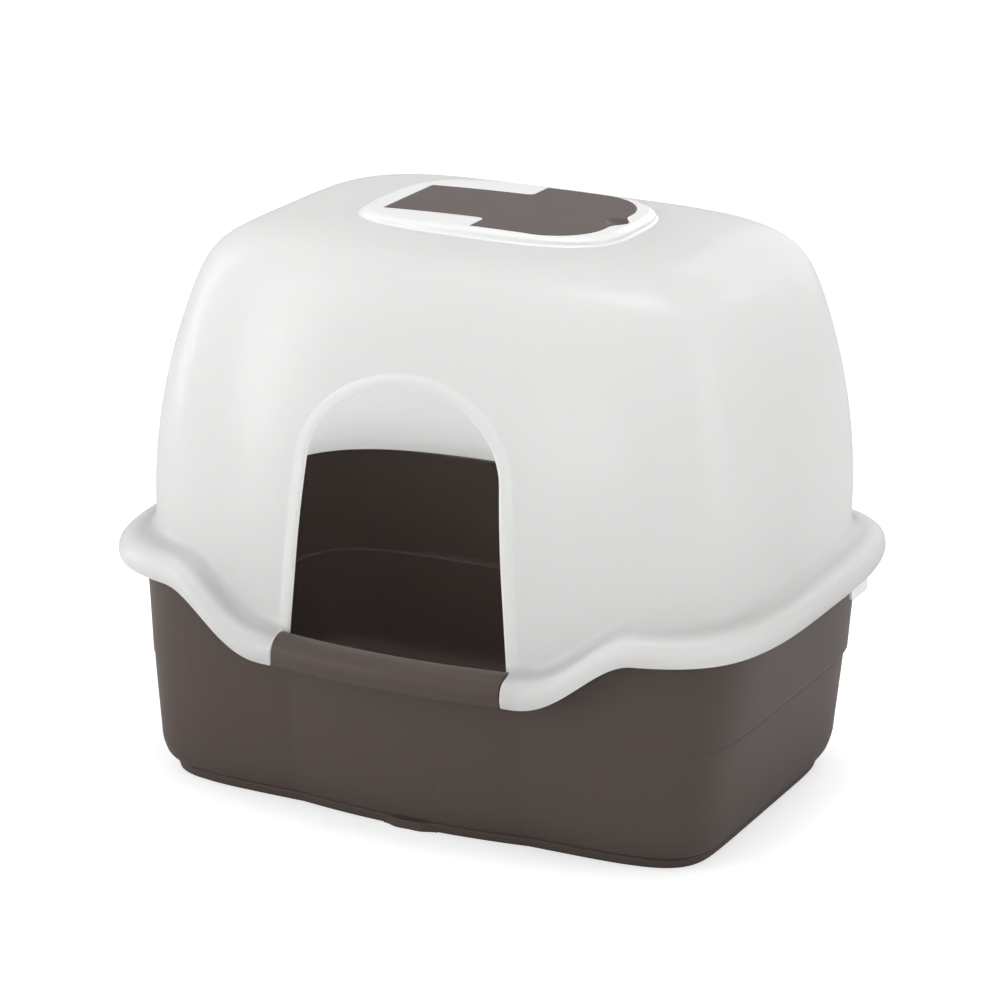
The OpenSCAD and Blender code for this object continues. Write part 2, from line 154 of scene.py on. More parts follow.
def loft(rings: list[Array], ends: bool = True) -> Surface:
    """Surface over closed rings of equally many points.

    Args:
        rings: The rings in order.
        ends: Whether the two end rings are closed by a fan to their middle. If not, the last
            ring joins the first, as on a ring-shaped body.

    Returns:
        The closed surface. A fan is a ring with all its points in one place.
    """
    stack = np.stack(rings)
    if ends:
        low = np.broadcast_to(stack[0].mean(axis=0), stack[0].shape)
        high = np.broadcast_to(stack[-1].mean(axis=0), stack[-1].shape)
        stack = np.concatenate([low[None], stack, high[None]])
    rows, columns = stack.shape[:2]
    index = np.arange(rows * columns).reshape(rows, columns)
    following = np.roll(index, -1, axis=1)
    above, above_following = np.roll(index, -1, axis=0), np.roll(following, -1, axis=0)
    quads = np.stack([index, following, above_following, above], axis=-1)
    quads = quads[:-1] if ends else quads
    return Surface(stack.reshape(-1, 3), quads.reshape(-1, 4))


def walled_sheet(outer: Array, inner: Array, keep: Array) -> Surface:
    """Closed wall between two grids of the same shape, with holes where keep is false.

    Args:
        outer: Outer grid, rows by columns by 3. The last column is followed by the first.
        inner: Inner grid of the same shape.
        keep: For each cell, rows - 1 by columns, whether it is there.

    Returns:
        Both faces of the kept cells, and a strip from one face to the other along each edge
        between a kept cell and a missing one.
    """
    rows, columns = outer.shape[:2]
    index = np.arange(rows * columns).reshape(rows, columns)
    following = np.roll(index, -1, axis=1)
    far = rows * columns
    cells = np.stack([index[:-1], following[:-1], following[1:], index[1:]], axis=-1)[keep]
    upright = keep != np.roll(keep, 1, axis=1)
    sides = np.stack([index[:-1], index[1:], index[1:] + far, index[:-1] + far], axis=-1)[upright]
    padded = np.vstack([np.zeros((1, columns), bool), keep, np.zeros((1, columns), bool)])
    level = padded[1:] != padded[:-1]
    steps = np.stack([index, following, following + far, index + far], axis=-1)[level]
    quads = np.vstack([cells, cells[:, ::-1] + far, sides, steps])
    return Surface(np.vstack([outer.reshape(-1, 3), inner.reshape(-1, 3)]), quads)


def slab(outline: Array, low: float, high: float, edge: float) -> Surface:
    """Plate over an outline, from low to high along its third axis, with its edges rounded.

    Each edge is a quarter circle of radius edge: the outline is drawn in towards its middle by
    edge times 1 - sin t while the height leaves the face by edge times 1 - cos t.
    """
    middle = outline.mean(axis=0)
    reach = np.linalg.norm(outline - middle, axis=1, keepdims=True)
    rings = []
    for t in np.radians(np.linspace(0, 90, 5)):
        drawn = middle + (outline - middle) * (1 - edge * (1 - np.sin(t)) / reach)
        rings.append(with_height(drawn, low + edge * (1 - np.cos(t))))
    top = [with_height(ring[:, :2], high - (ring[0, 2] - low)) for ring in rings[::-1]]
    return loft(rings + top)


# ---- Plan and doorway --------------------------------------------------------


@dataclass
class Doorway:
    """The arched doorway in the hood's front: straight sides under half an ellipse."""

    width: float = 0.169
    lean: float = 0.08
    top_z: float = 0.368
    rise: float = 0.068
    sill_z: float = 0.1595

    @property
    def arch_z(self) -> float:
        """Height of the ellipse's centre."""
        return self.top_z - self.rise

    @property
    def tangent(self) -> float:
        """Angle on the ellipse, in degrees, at which the leaning side runs into it."""
        return math.degrees(math.atan(self.lean * self.rise / (self.width / 2)))

    @property
    def spring(self) -> tuple[float, float]:
        """Point where the side meets the arch."""
        t = math.radians(self.tangent)
        return self.width / 2 * math.cos(t), self.arch_z + self.rise * math.sin(t)

    @property
    def foot_half(self) -> float:
        """Half width at the sill."""
        return self.width / 2 + self.lean * (self.arch_z - self.sill_z)

    def side_x(self, z: Array) -> Array:
        """Half width of the straight sides at height z: x grows by lean for each unit down."""
        return self.spring[0] + self.lean * (self.spring[1] - z)

    def line(self, foot_z: float) -> Array:
        """The door line from the right foot over the arch to the left foot, as x, z rows."""
        zs = np.linspace(foot_z, self.spring[1], 40, endpoint=False)
        right = np.column_stack([self.side_x(zs), zs])
        top = arc(0, self.arch_z, self.width / 2, self.rise, self.tangent, 180 - self.tangent, 90)
        return np.vstack([right, top, right[::-1] * (-1, 1)])

    def distance(self, x: Array, z: Array) -> Array:
        """Distance outside the door line: exact beside the straight sides, and beside the arch
        the ellipse's equation divided by the length of its gradient."""
        side = (np.abs(x) - self.side_x(z)) / math.hypot(1, self.lean)
        a, b = self.width / 2, self.rise
        rz = np.maximum(z - self.arch_z, 1e-6)
        r = np.maximum(np.hypot(x / a, rz / b), 1e-6)
        bowed = (r - 1) * r / np.hypot(x / a**2, rz / b**2)
        return np.where(z < self.spring[1], side, bowed)

    def away(self, x: Array, z: Array) -> tuple[Array, Array]:
        """Unit direction in x, z straight away from the door line."""
        flat = math.hypot(1, self.lean)
        gx, gz = x / (self.width / 2) ** 2, (z - self.arch_z) / self.rise**2
        size = np.maximum(np.hypot(gx, gz), 1e-9)
        straight = z < self.spring[1]
        return np.where(straight, np.sign(x) / flat, gx / size), np.where(straight, self.lean / flat, gz / size)


@dataclass
class Plan:
    """Plan of the whole box. The foot line is the superellipse |x/a|^n + |y/b|^n = 1 under the
    hood's wall, the rim stands out from it, and beside the doorway the rim dips."""

    half_width: float
    half_depth: float
    rim_z: float
    roof_z: float
    door: Doorway
    rim_out: float = 0.025
    square: float = 4.2
    corner_gain: float = 0.29
    rim_dip: float = 0.0475
    dip_out: float = 0.196
    dip_soft: float = 1.3
    panel_bow: float = 0.0085
    shift: float = 0.0035

    @classmethod
    def from_frame(cls) -> "Plan":
        """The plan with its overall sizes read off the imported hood."""
        low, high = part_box("hood")
        return cls(half_width=high.x, half_depth=high.y - cls.shift, rim_z=low.z + cls.rim_dip,
                   roof_z=high.z - 0.0036, door=Doorway())

    @property
    def a(self) -> float:
        """Half width of the foot line."""
        return self.half_width - self.rim_out

    @property
    def b(self) -> float:
        """Half depth of the foot line."""
        return self.half_depth - self.rim_out

    @property
    def rim_end(self) -> float:
        """Distance from the middle at which the hood's rim ends beside the doorway."""
        return self.door.foot_half + 0.0049

    @property
    def panel_half(self) -> float:
        """Half width of the tray's bowed front panel."""
        return self.rim_end + 0.0005


class Stations:
    """Points round the plan at which every ring has a vertex. The front ones keep their x, the
    others keep their direction from the middle."""

    def __init__(self, plan: Plan, split: float) -> None:
        """Places the stations.

        Args:
            plan: The box's plan.
            split: Distance from the middle at which a grid line stands beside the doorway.
        """
        self.plan, self.split = plan, split
        self.front_x = plan.dip_out + 0.009
        wing, panel, side, back = 30, 64, 92, 56
        self.xs = np.concatenate([
            np.linspace(-self.front_x, -split, wing, endpoint=False),
            np.linspace(-split, split, panel, endpoint=False),
            np.linspace(split, self.front_x, wing, endpoint=False)])
        self.first, self.last = wing, wing + panel
        n = plan.square
        turn_y = plan.b * (1 - (self.front_x / plan.a) ** n) ** (1 / n)
        turn = math.atan2(turn_y, self.front_x)
        right = np.linspace(-turn, turn, side, endpoint=False)
        left = right + math.pi
        across = np.linspace(self.front_x, -self.front_x, back, endpoint=False)
        self.turned = np.vstack([
            np.column_stack([np.cos(right), np.sin(right)]),
            np.column_stack([across, np.full(back, turn_y)]),
            np.column_stack([np.cos(left), np.sin(left)])])
        self.count = len(self.xs) + len(self.turned)
        self.foot = self.ring(plan.a, plan.b, n)
        self.normal = self.outward(self.foot, plan.a, plan.b, n)
        self.turning = 2 * self.normal[:, 0] * self.normal[:, 1]
        self.drop = self.drop_at(self.foot)

    def ring(self, a: Array | float, b: Array | float, n: Array | float, held: bool = False) -> Array:
        """The stations on the superellipse |x/a|^n + |y/b|^n = 1.

        Args:
            a: Half width, one value or one for each station.
            b: Half depth.
            n: Exponent.
            held: Whether the stations in front of the panel keep their x exactly.

        Returns:
            The plan points, one row each.
        """
        a, b, n = (np.broadcast_to(np.asarray(v, float), self.count) for v in (a, b, n))
        k = len(self.xs)
        away = np.clip((np.abs(self.xs) - self.split) / (self.front_x - self.split), 0, 1)
        share = away if held else 1.0
        x = self.xs * (1 + share * (a[:k] / self.plan.a - 1))
        y = -b[:k] * (1 - np.abs(x / a[:k]) ** n[:k]) ** (1 / n[:k])
        u = self.turned * np.column_stack([a[k:] / self.plan.a, b[k:] / self.plan.b])
        u = u / superellipse_radius(u[:, 0], u[:, 1], a[k:], b[k:], n[k:])[:, None]
        return np.vstack([np.column_stack([x, y]), u])

    def outward(self, p: Array, a: float, b: float, n: float) -> Array:
        """Unit normals of the superellipse at points p, along its gradient."""
        g = np.column_stack([np.sign(p[:, 0]) * np.abs(p[:, 0] / a) ** (n - 1) / a,
                             np.sign(p[:, 1]) * np.abs(p[:, 1] / b) ** (n - 1) / b])
        return g / np.linalg.norm(g, axis=1, keepdims=True)

    def drop_at(self, p: Array) -> Array:
        """Drop of the rim: the whole dip beside the doorway, nothing at the sides and back, and
        an S-curve between that starts softly."""
        plan = self.plan
        dip_in = plan.rim_end + 0.0035
        t = np.maximum(0, (np.abs(p[:, 0]) - dip_in) / (plan.dip_out - dip_in)) ** plan.dip_soft
        return np.where(p[:, 1] > 0, 0, -plan.rim_dip * (1 - ease(t)))

    def bow(self, p: Array) -> Array:
        """Forward bow of the front panel: a parabola across it."""
        plan = self.plan
        return np.where(p[:, 1] > 0, 0, plan.panel_bow * np.maximum(0, 1 - (p[:, 0] / plan.panel_half) ** 2))

    def rim_points(self, o: float) -> Array:
        """Points o outward from the foot line along its normals, and further round corners,
        where the product of the normal's parts is large."""
        gain = 1 + (self.plan.corner_gain if o > 0 else 0.0) * self.turning**2
        return self.foot + (o * gain)[:, None] * self.normal

    def rim_ring(self, o: float, h: float, bowed: bool = False) -> Array:
        """Ring of the rim's section: o outward and h above the rim's lower edge."""
        p = self.rim_points(o)
        if bowed:
            p = p - np.column_stack([np.zeros(self.count), self.bow(p)])
        return with_height(p, self.plan.rim_z + h + self.drop)


# ---- Finishes ----------------------------------------------------------------


class Nodes:
    """Short ways to add and join shader nodes in a tree."""

    def __init__(self, tree: bpy.types.NodeTree) -> None:
        """Keeps the tree that nodes are added to."""
        self.tree = tree

    def add(self, kind: str, values: dict | None = None, **settings) -> bpy.types.Node:
        """Adds a node.

        Args:
            kind: Its type name without the ShaderNode prefix, or a full type name.
            values: Socket values or the sockets that feed them, by name or index.
            settings: Properties of the node.

        Returns:
            The node.
        """
        full = kind if kind.startswith("Node") else "ShaderNode" + kind
        node = self.tree.nodes.new(full)
        for name, value in settings.items():
            setattr(node, name, value)
        for key, value in (values or {}).items():
            if isinstance(value, bpy.types.NodeSocket):
                self.tree.links.new(value, node.inputs[key])
            else:
                node.inputs[key].default_value = value
        return node

    def math(self, operation: str, first: Feed, second: Feed = 0.0, third: Feed = 0.0) -> bpy.types.NodeSocket:
        """The result of a math node."""
        return self.add("Math", {0: first, 1: second, 2: third}, operation=operation).outputs[0]

    def noise(self, vector: bpy.types.NodeSocket, scale: float, detail: float = 2.0,
              rough: float = 0.5) -> bpy.types.NodeSocket:
        """The value of a noise texture, 0 to 1."""
        values = {"Vector": vector, "Scale": scale, "Detail": detail, "Roughness": rough}
        return self.add("TexNoise", values).outputs["Fac"]

    def spread(self, value: Feed, low: float, high: float, to_low: float = 0.0,
               to_high: float = 1.0) -> bpy.types.NodeSocket:
        """The value taken from one range to another, clamped."""
        values = {"Value": value, "From Min": low, "From Max": high, "To Min": to_low, "To Max": to_high}
        return self.add("MapRange", values).outputs["Result"]


def new_group(name: str, inputs: dict[str, float | Color], outputs: dict[str, str]) -> tuple:
    """Starts a shader node group.

    Args:
        name: Name of the group.
        inputs: Default of each input. Three numbers make a colour, one makes a number.
        outputs: Socket type of each output.

    Returns:
        The group, its Nodes, its input node and its output node.
    """
    tree = bpy.data.node_groups.new(name, "ShaderNodeTree")
    for label, default in inputs.items():
        kind = "NodeSocketFloat" if isinstance(default, (int, float)) else "NodeSocketColor"
        socket = tree.interface.new_socket(label, in_out="INPUT", socket_type=kind)
        socket.default_value = default if kind == "NodeSocketFloat" else (*default, 1.0)
    for label, kind in outputs.items():
        tree.interface.new_socket(label, in_out="OUTPUT", socket_type=kind)
    nodes = Nodes(tree)
    return tree, nodes, nodes.add("NodeGroupInput"), nodes.add("NodeGroupOutput")


def moulded_grain_group() -> bpy.types.NodeTree:
    """Skin of a moulded plastic: faint clouding in the colour, a fine spark-eroded grain, and
    broad soft waves where the sheet cooled, which only the gloss shows."""
    tree, n, source, sink = new_group(
        "moulded_grain",
        {"Color": (0.8, 0.8, 0.8), "Clouding": 0.03, "Roughness": 0.35, "Patchiness": 0.08,
         "Grain Scale": 900.0, "Grain": 1.0, "Waves": 1.0},
        {"Color": "NodeSocketColor", "Roughness": "NodeSocketFloat", "Height": "NodeSocketFloat"})
    place = n.add("TexCoord").outputs["Object"]
    cloud = n.noise(place, 7.0, 3.0)
    shade = n.math("MULTIPLY_ADD", n.math("SUBTRACT", cloud, 0.5), source.outputs["Clouding"], 1.0)
    color = n.add("VectorMath", {0: source.outputs["Color"], 1: shade}, operation="MULTIPLY").outputs[0]
    patch = n.math("SUBTRACT", n.noise(place, 16.0, 4.0, 0.6), 0.5)
    rough = n.math("MULTIPLY_ADD", patch, source.outputs["Patchiness"], source.outputs["Roughness"])
    fine = n.add("TexNoise", {"Vector": place, "Scale": source.outputs["Grain Scale"], "Detail": 2.0})
    grain = n.math("MULTIPLY", fine.outputs["Fac"], source.outputs["Grain"])
    height = n.math("MULTIPLY_ADD", n.noise(place, 26.0, 1.0), source.outputs["Waves"], grain)
    n.tree.links.new(color, sink.inputs["Color"])
    n.tree.links.new(rough, sink.inputs["Roughness"])
    n.tree.links.new(height, sink.inputs["Height"])
    return tree


def handling_group() -> bpy.types.NodeTree:
    """Use marks: hair scratches that run along the piece, and a trace of dust that settles on
    faces that look up. Puts out the colour and the roughness with both on them."""
    tree, n, source, sink = new_group(
        "handling_marks",
        {"Color": (0.8, 0.8, 0.8), "Roughness": 0.35, "Scratches": 0.1, "Dust": 0.05},
        {"Color": "NodeSocketColor", "Roughness": "NodeSocketFloat"})
    place = n.add("TexCoord").outputs["Object"]
    drawn = n.add("Mapping", {"Vector": place, "Rotation": (0.2, 0.35, 0.15), "Scale": (260.0, 260.0, 9.0)})
    line = n.spread(n.noise(drawn.outputs[0], 1.0, 1.0), 0.69, 0.74)
    where = n.spread(n.noise(place, 11.0, 2.0), 0.52, 0.7)
    marks = n.math("MULTIPLY", n.math("MULTIPLY", line, where), source.outputs["Scratches"])
    up = n.add("SeparateXYZ", {0: n.add("NewGeometry").outputs["Normal"]}).outputs["Z"]
    specks = n.spread(n.noise(place, 340.0, 3.0, 0.7), 0.5, 0.72)
    dust = n.math("MULTIPLY", n.math("MULTIPLY", n.spread(up, 0.6, 1.0), specks), source.outputs["Dust"])
    pale = n.add("Mix", {"Factor": n.math("ADD", marks, dust), "A": source.outputs["Color"],
                         "B": (0.62, 0.6, 0.57, 1.0)}, data_type="RGBA")
    rough = n.math("MULTIPLY_ADD", marks, 0.4, n.math("MULTIPLY_ADD", dust, 0.8, source.outputs["Roughness"]))
    n.tree.links.new(pale.outputs["Result"], sink.inputs["Color"])
    n.tree.links.new(rough, sink.inputs["Roughness"])
    return tree


@dataclass(frozen=True)
class Plastic:
    """A moulded plastic: colour, gloss and the size of its grain."""

    name: str
    color: Color
    roughness: float
    clouding: float = 0.008
    patchiness: float = 0.06
    grain_scale: float = 1500.0
    grain: float = 0.35
    waves: float = 0.8
    bump: float = 0.03
    scratches: float = 0.0
    dust: float = 0.0
    coat: float = 0.0
    coat_roughness: float = 0.2
    specular: float = 0.5
    let_through: float = 0.0

    def build(self, grain: bpy.types.NodeTree, marks: bpy.types.NodeTree) -> bpy.types.Material:
        """Makes the material from the two shared groups and a plain Principled shader."""
        material, n, shader = started_material(self.name)
        skin = n.add("Group", node_tree=grain)
        for label, value in (("Clouding", self.clouding), ("Roughness", self.roughness),
                             ("Patchiness", self.patchiness), ("Grain Scale", self.grain_scale),
                             ("Grain", self.grain), ("Waves", self.waves)):
            skin.inputs[label].default_value = value
        skin.inputs["Color"].default_value = (*self.color, 1.0)
        used = n.add("Group", node_tree=marks)
        n.tree.links.new(skin.outputs["Color"], used.inputs["Color"])
        n.tree.links.new(skin.outputs["Roughness"], used.inputs["Roughness"])
        used.inputs["Scratches"].default_value = self.scratches
        used.inputs["Dust"].default_value = self.dust
        n.tree.links.new(used.outputs["Color"], shader.inputs["Base Color"])
        n.tree.links.new(used.outputs["Roughness"], shader.inputs["Roughness"])
        bump = n.add("Bump", {"Height": skin.outputs["Height"], "Strength": self.bump, "Distance": MM})
        n.tree.links.new(bump.outputs["Normal"], shader.inputs["Normal"])
        shader.inputs["Coat Weight"].default_value = self.coat
        shader.inputs["Coat Roughness"].default_value = self.coat_roughness
        shader.inputs["Specular IOR Level"].default_value = self.specular
        if self.let_through:
            through = n.add("BsdfTranslucent", {"Color": (*self.color, 1.0)})
            both = n.add("MixShader", {0: self.let_through, 1: shader.outputs[0], 2: through.outputs[0]})
            n.tree.links.new(both.outputs[0], material.node_tree.nodes["Material Output"].inputs["Surface"])
        return material


@dataclass(frozen=True)
class Felt:
    """Carbon-filled nonwoven felt: matt, fibrous and flecked."""

    name: str
    color: Color
    fleck: Color

    def build(self) -> bpy.types.Material:
        """Makes the material: crossed stretched noises as fibres over a grainy ground."""
        material, n, shader = started_material(self.name)
        place = n.add("TexCoord").outputs["Object"]
        fibres = None
        for turn, across, length in ((0.3, 1400.0, 160.0), (1.7, 1200.0, 140.0), (2.6, 1500.0, 170.0)):
            laid = n.add("Mapping", {"Vector": place, "Rotation": (0.0, 0.0, turn),
                                     "Scale": (across, length, 600.0)})
            layer = n.noise(laid.outputs[0], 1.0, 2.0)
            fibres = layer if fibres is None else n.math("MAXIMUM", fibres, layer)
        ground = n.noise(place, 420.0, 4.0, 0.7)
        mask = n.spread(fibres, 0.55, 0.8)
        mixed = n.add("Mix", {"Factor": mask, "A": (*self.color, 1.0), "B": (*self.fleck, 1.0)}, data_type="RGBA")
        n.tree.links.new(mixed.outputs["Result"], shader.inputs["Base Color"])
        n.tree.links.new(n.spread(ground, 0.3, 0.7, 0.82, 0.97), shader.inputs["Roughness"])
        height = n.math("MULTIPLY_ADD", ground, 0.5, fibres)
        bump = n.add("Bump", {"Height": height, "Strength": 0.6, "Distance": 0.6 * MM})
        n.tree.links.new(bump.outputs["Normal"], shader.inputs["Normal"])
        return material


def started_material(name: str) -> tuple[bpy.types.Material, Nodes, bpy.types.Node]:
    """A node material with a Principled shader joined to its output.

    Returns:
        The material, its Nodes and the shader.
    """
    material = bpy.data.materials.new(name)
    material.use_nodes = True
    tree = material.node_tree
    tree.nodes.clear()
    n = Nodes(tree)
    shader = n.add("BsdfPrincipled")
    n.add("OutputMaterial", {"Surface": shader.outputs[0]})
    return material, n, shader


@dataclass
class Finishes:
    """The object's materials."""

    hood: bpy.types.Material
    hood_thick: bpy.types.Material
    tray: bpy.types.Material
    hatch: bpy.types.Material
    felt: bpy.types.Material

    @classmethod
    def build(cls) -> "Finishes":
        """Makes the shared groups once and each material from them."""
        groups = moulded_grain_group(), handling_group()
        glossy = Plastic("hood_white", (0.955, 0.955, 0.952), 0.3, coat=0.6, coat_roughness=0.1, let_through=0.72)
        thick = Plastic("hood_white_thick", (0.8, 0.8, 0.797), 0.3, coat=0.2)
        tray = Plastic("tray_taupe", (0.08, 0.061, 0.053), 0.45, clouding=0.05, grain_scale=1100.0,
                       grain=0.5, waves=0.6, bump=0.05, scratches=0.012, specular=0.16)
        hatch = Plastic("hatch_taupe", (0.092, 0.07, 0.062), 0.45, clouding=0.04, grain_scale=1300.0,
                        grain=0.6, waves=0.6, bump=0.05, scratches=0.012, specular=0.3)
        felt = Felt("filter_charcoal", (0.022, 0.022, 0.024), (0.075, 0.075, 0.08))
        return cls(*(p.build(*groups) for p in (glossy, thick, tray, hatch)), felt.build())


# ---- Making pieces -----------------------------------------------------------


@dataclass
class Workshop:
    """Makes Blender objects from surfaces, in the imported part's frame."""

    plan: Plan
    smooth_below: float = math.radians(32)

    def piece(self, name: str, surface: Surface, body: Body, slot: Slot, finish: bpy.types.Material,
              replaces: str | None = None) -> bpy.types.Object:
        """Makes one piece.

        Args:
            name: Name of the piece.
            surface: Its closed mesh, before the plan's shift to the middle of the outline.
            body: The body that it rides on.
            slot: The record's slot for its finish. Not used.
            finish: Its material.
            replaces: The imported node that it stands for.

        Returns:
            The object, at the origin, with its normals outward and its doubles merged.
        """
        points = surface.points + (0.0, self.plan.shift, 0.0)
        mesh = bpy.data.meshes.new(name)
        mesh.vertices.add(len(points))
        mesh.vertices.foreach_set("co", points.astype(np.float32).ravel())
        mesh.loops.add(surface.quads.size)
        mesh.loops.foreach_set("vertex_index", surface.quads.astype(np.int32).ravel())
        mesh.polygons.add(len(surface.quads))
        mesh.polygons.foreach_set("loop_start", np.arange(0, surface.quads.size, 4, dtype=np.int32))
        mesh.update(calc_edges=True)
        self.cleaned(mesh)
        mesh.polygons.foreach_set("use_smooth", np.ones(len(mesh.polygons), bool))
        mesh.set_sharp_from_angle(angle=self.smooth_below)
        mesh.materials.append(finish)
        item = bpy.data.objects.new(name, mesh)
        bpy.context.scene.collection.objects.link(item)
        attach(item, body.value)
        if replaces:
            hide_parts(replaces)
        LOG.info("%s: %d faces on %s", name, len(mesh.polygons), body.value)
        return item

    def cleaned(self, mesh: bpy.types.Mesh) -> None:
        """Merges doubles, drops loose vertices and turns the faces outward."""
        work = bmesh.new()
        work.from_mesh(mesh)
        bmesh.ops.remove_doubles(work, verts=work.verts, dist=0.002 * MM)
        loose = [v for v in work.verts if not v.link_faces]
        bmesh.ops.delete(work, geom=loose, context="VERTS")
        bmesh.ops.recalc_face_normals(work, faces=work.faces)
        work.to_mesh(mesh)
        work.free()


# ---- Hood --------------------------------------------------------------------


@dataclass
class HoodForm:
    """Heights, leans and curves of the hood's shell."""

    plan: Plan
    wall: float = 0.0025
    foot_rise: float = 0.040
    lean_side: float = 0.031
    lean_front: float = 0.031
    shoulder_h: float = 0.062
    shoulder_side: float = 0.098
    shoulder_front: float = 0.056
    crown: float = 0.0064
    square_gain: float = 0.75
    wall_pull: float = 0.7
    roof_pull: float = 0.73

    @property
    def foot_z(self) -> float:
        """Height at which the wall begins to lean."""
        return self.plan.rim_z + self.foot_rise

    @property
    def shoulder_z(self) -> float:
        """Height at which the shoulder begins."""
        return self.plan.roof_z - self.shoulder_h

    def climb(self, z: Array) -> Array:
        """Share of the way up the leaning wall."""
        return np.maximum(0, (z - self.foot_z) / (self.shoulder_z - self.foot_z))

    def sides(self, z: Array, t: float) -> tuple[Array, Array, Array]:
        """Half width, half depth and exponent of the wall at height z, drawn in by t. The lean
        grows with the square of the climb."""
        c = self.climb(z)
        plan = self.plan
        return (plan.a - self.lean_side * c**2 - t, plan.b - self.lean_front * c**2 - t,
                plan.square + self.square_gain * c)

    def front_y(self, x: Array, z: Array, t: float = 0.0) -> Array:
        """Front face of the wall at x and height z, drawn in by t."""
        a, b, n = self.sides(z, t)
        return -b * (1 - np.abs(x / a) ** n) ** (1 / n)

    def wall_ring(self, s: float, t: float, at: Stations) -> Array:
        """Ring of the wall a share s of the way from the rim to the shoulder."""
        low = self.foot_z + at.drop
        z = low + s * (self.shoulder_z - low)
        return with_height(at.ring(*self.sides(z, t)), z)

    def shoulder_at(self, v: float, width: float, lean: float, reach: float) -> Array:
        """Run and rise of the shoulder at v: a cubic that leaves along the leaning wall and
        arrives along the crowned roof."""
        rise = self.shoulder_h - self.crown
        low = rise * self.wall_pull * np.array([2 * lean / (self.shoulder_z - self.foot_z), 1])
        pull = width * self.roof_pull
        high = np.array([width - pull, rise - pull * 2 * self.crown / reach])
        end = np.array([width, rise])
        return 3 * (1 - v) ** 2 * v * low + 3 * (1 - v) * v**2 * high + v**3 * end

    @property
    def edge(self) -> tuple[float, float]:
        """Half width and half depth at the shoulder's foot."""
        return self.plan.a - self.lean_side, self.plan.b - self.lean_front

    @property
    def roof(self) -> tuple[float, float]:
        """Half width and half depth of the crowned roof."""
        return self.edge[0] - self.shoulder_side, self.edge[1] - self.shoulder_front

    @property
    def roof_square(self) -> float:
        """Exponent of the roof's outline."""
        return self.plan.square + self.square_gain

    def shoulder_ring(self, v: float, t: float, at: Stations) -> Array:
        """Ring of the shoulder at v, drawn in and down by t."""
        side = self.shoulder_at(v, self.shoulder_side, self.lean_side, self.roof[0])
        front = self.shoulder_at(v, self.shoulder_front, self.lean_front, self.roof[1])
        rise = self.shoulder_h - self.crown
        z = self.shoulder_z + (side[1] + front[1]) / 2 * (1 - t / rise)
        p = at.ring(self.edge[0] - t - side[0], self.edge[1] - t - front[0], self.roof_square)
        return with_height(p, z)

    def roof_height(self, x: Array, y: Array, t: float = 0.0) -> Array:
        """Height of the roof: it falls with the square of the share of the way to its edge."""
        s = superellipse_radius(x, y, self.roof[0] - t, self.roof[1] - t, self.roof_square)
        return self.plan.roof_z - t - self.crown * s**2


@dataclass
class PadForm:
    """The raised pad on the roof and the crowned top that it shares with the hatch."""

    plan: Plan
    x: float = -0.002
    a: float = 0.113
    b: float = 0.0805
    square: float = 3.5
    raised: float = 0.0036
    crown_r: float = 2.5
    crown_x: float = 0.024
    middle: float = 0.020

    def top(self, x: Array) -> Array:
        """Height of the pad's top: an arc across the roof, highest at crown_x."""
        sag = self.crown_r - np.sqrt(self.crown_r**2 - (x - self.crown_x) ** 2)
        return self.plan.roof_z + self.raised - sag

    def reach(self, origin: float, direction: Array, g: float) -> Array:
        """Distance from (origin, 0) along unit directions to the outline grown by g, found by
        halving the range that holds it."""
        low, high = np.zeros(len(direction)), np.full(len(direction), 2 * self.a)
        for _ in range(40):
            mid = (low + high) / 2
            x = origin + mid * direction[:, 0] - self.x
            inside = superellipse_radius(x, mid * direction[:, 1], self.a + g, self.b + g, self.square) < 1
            low, high = np.where(inside, mid, low), np.where(inside, high, mid)
        return (low + high) / 2


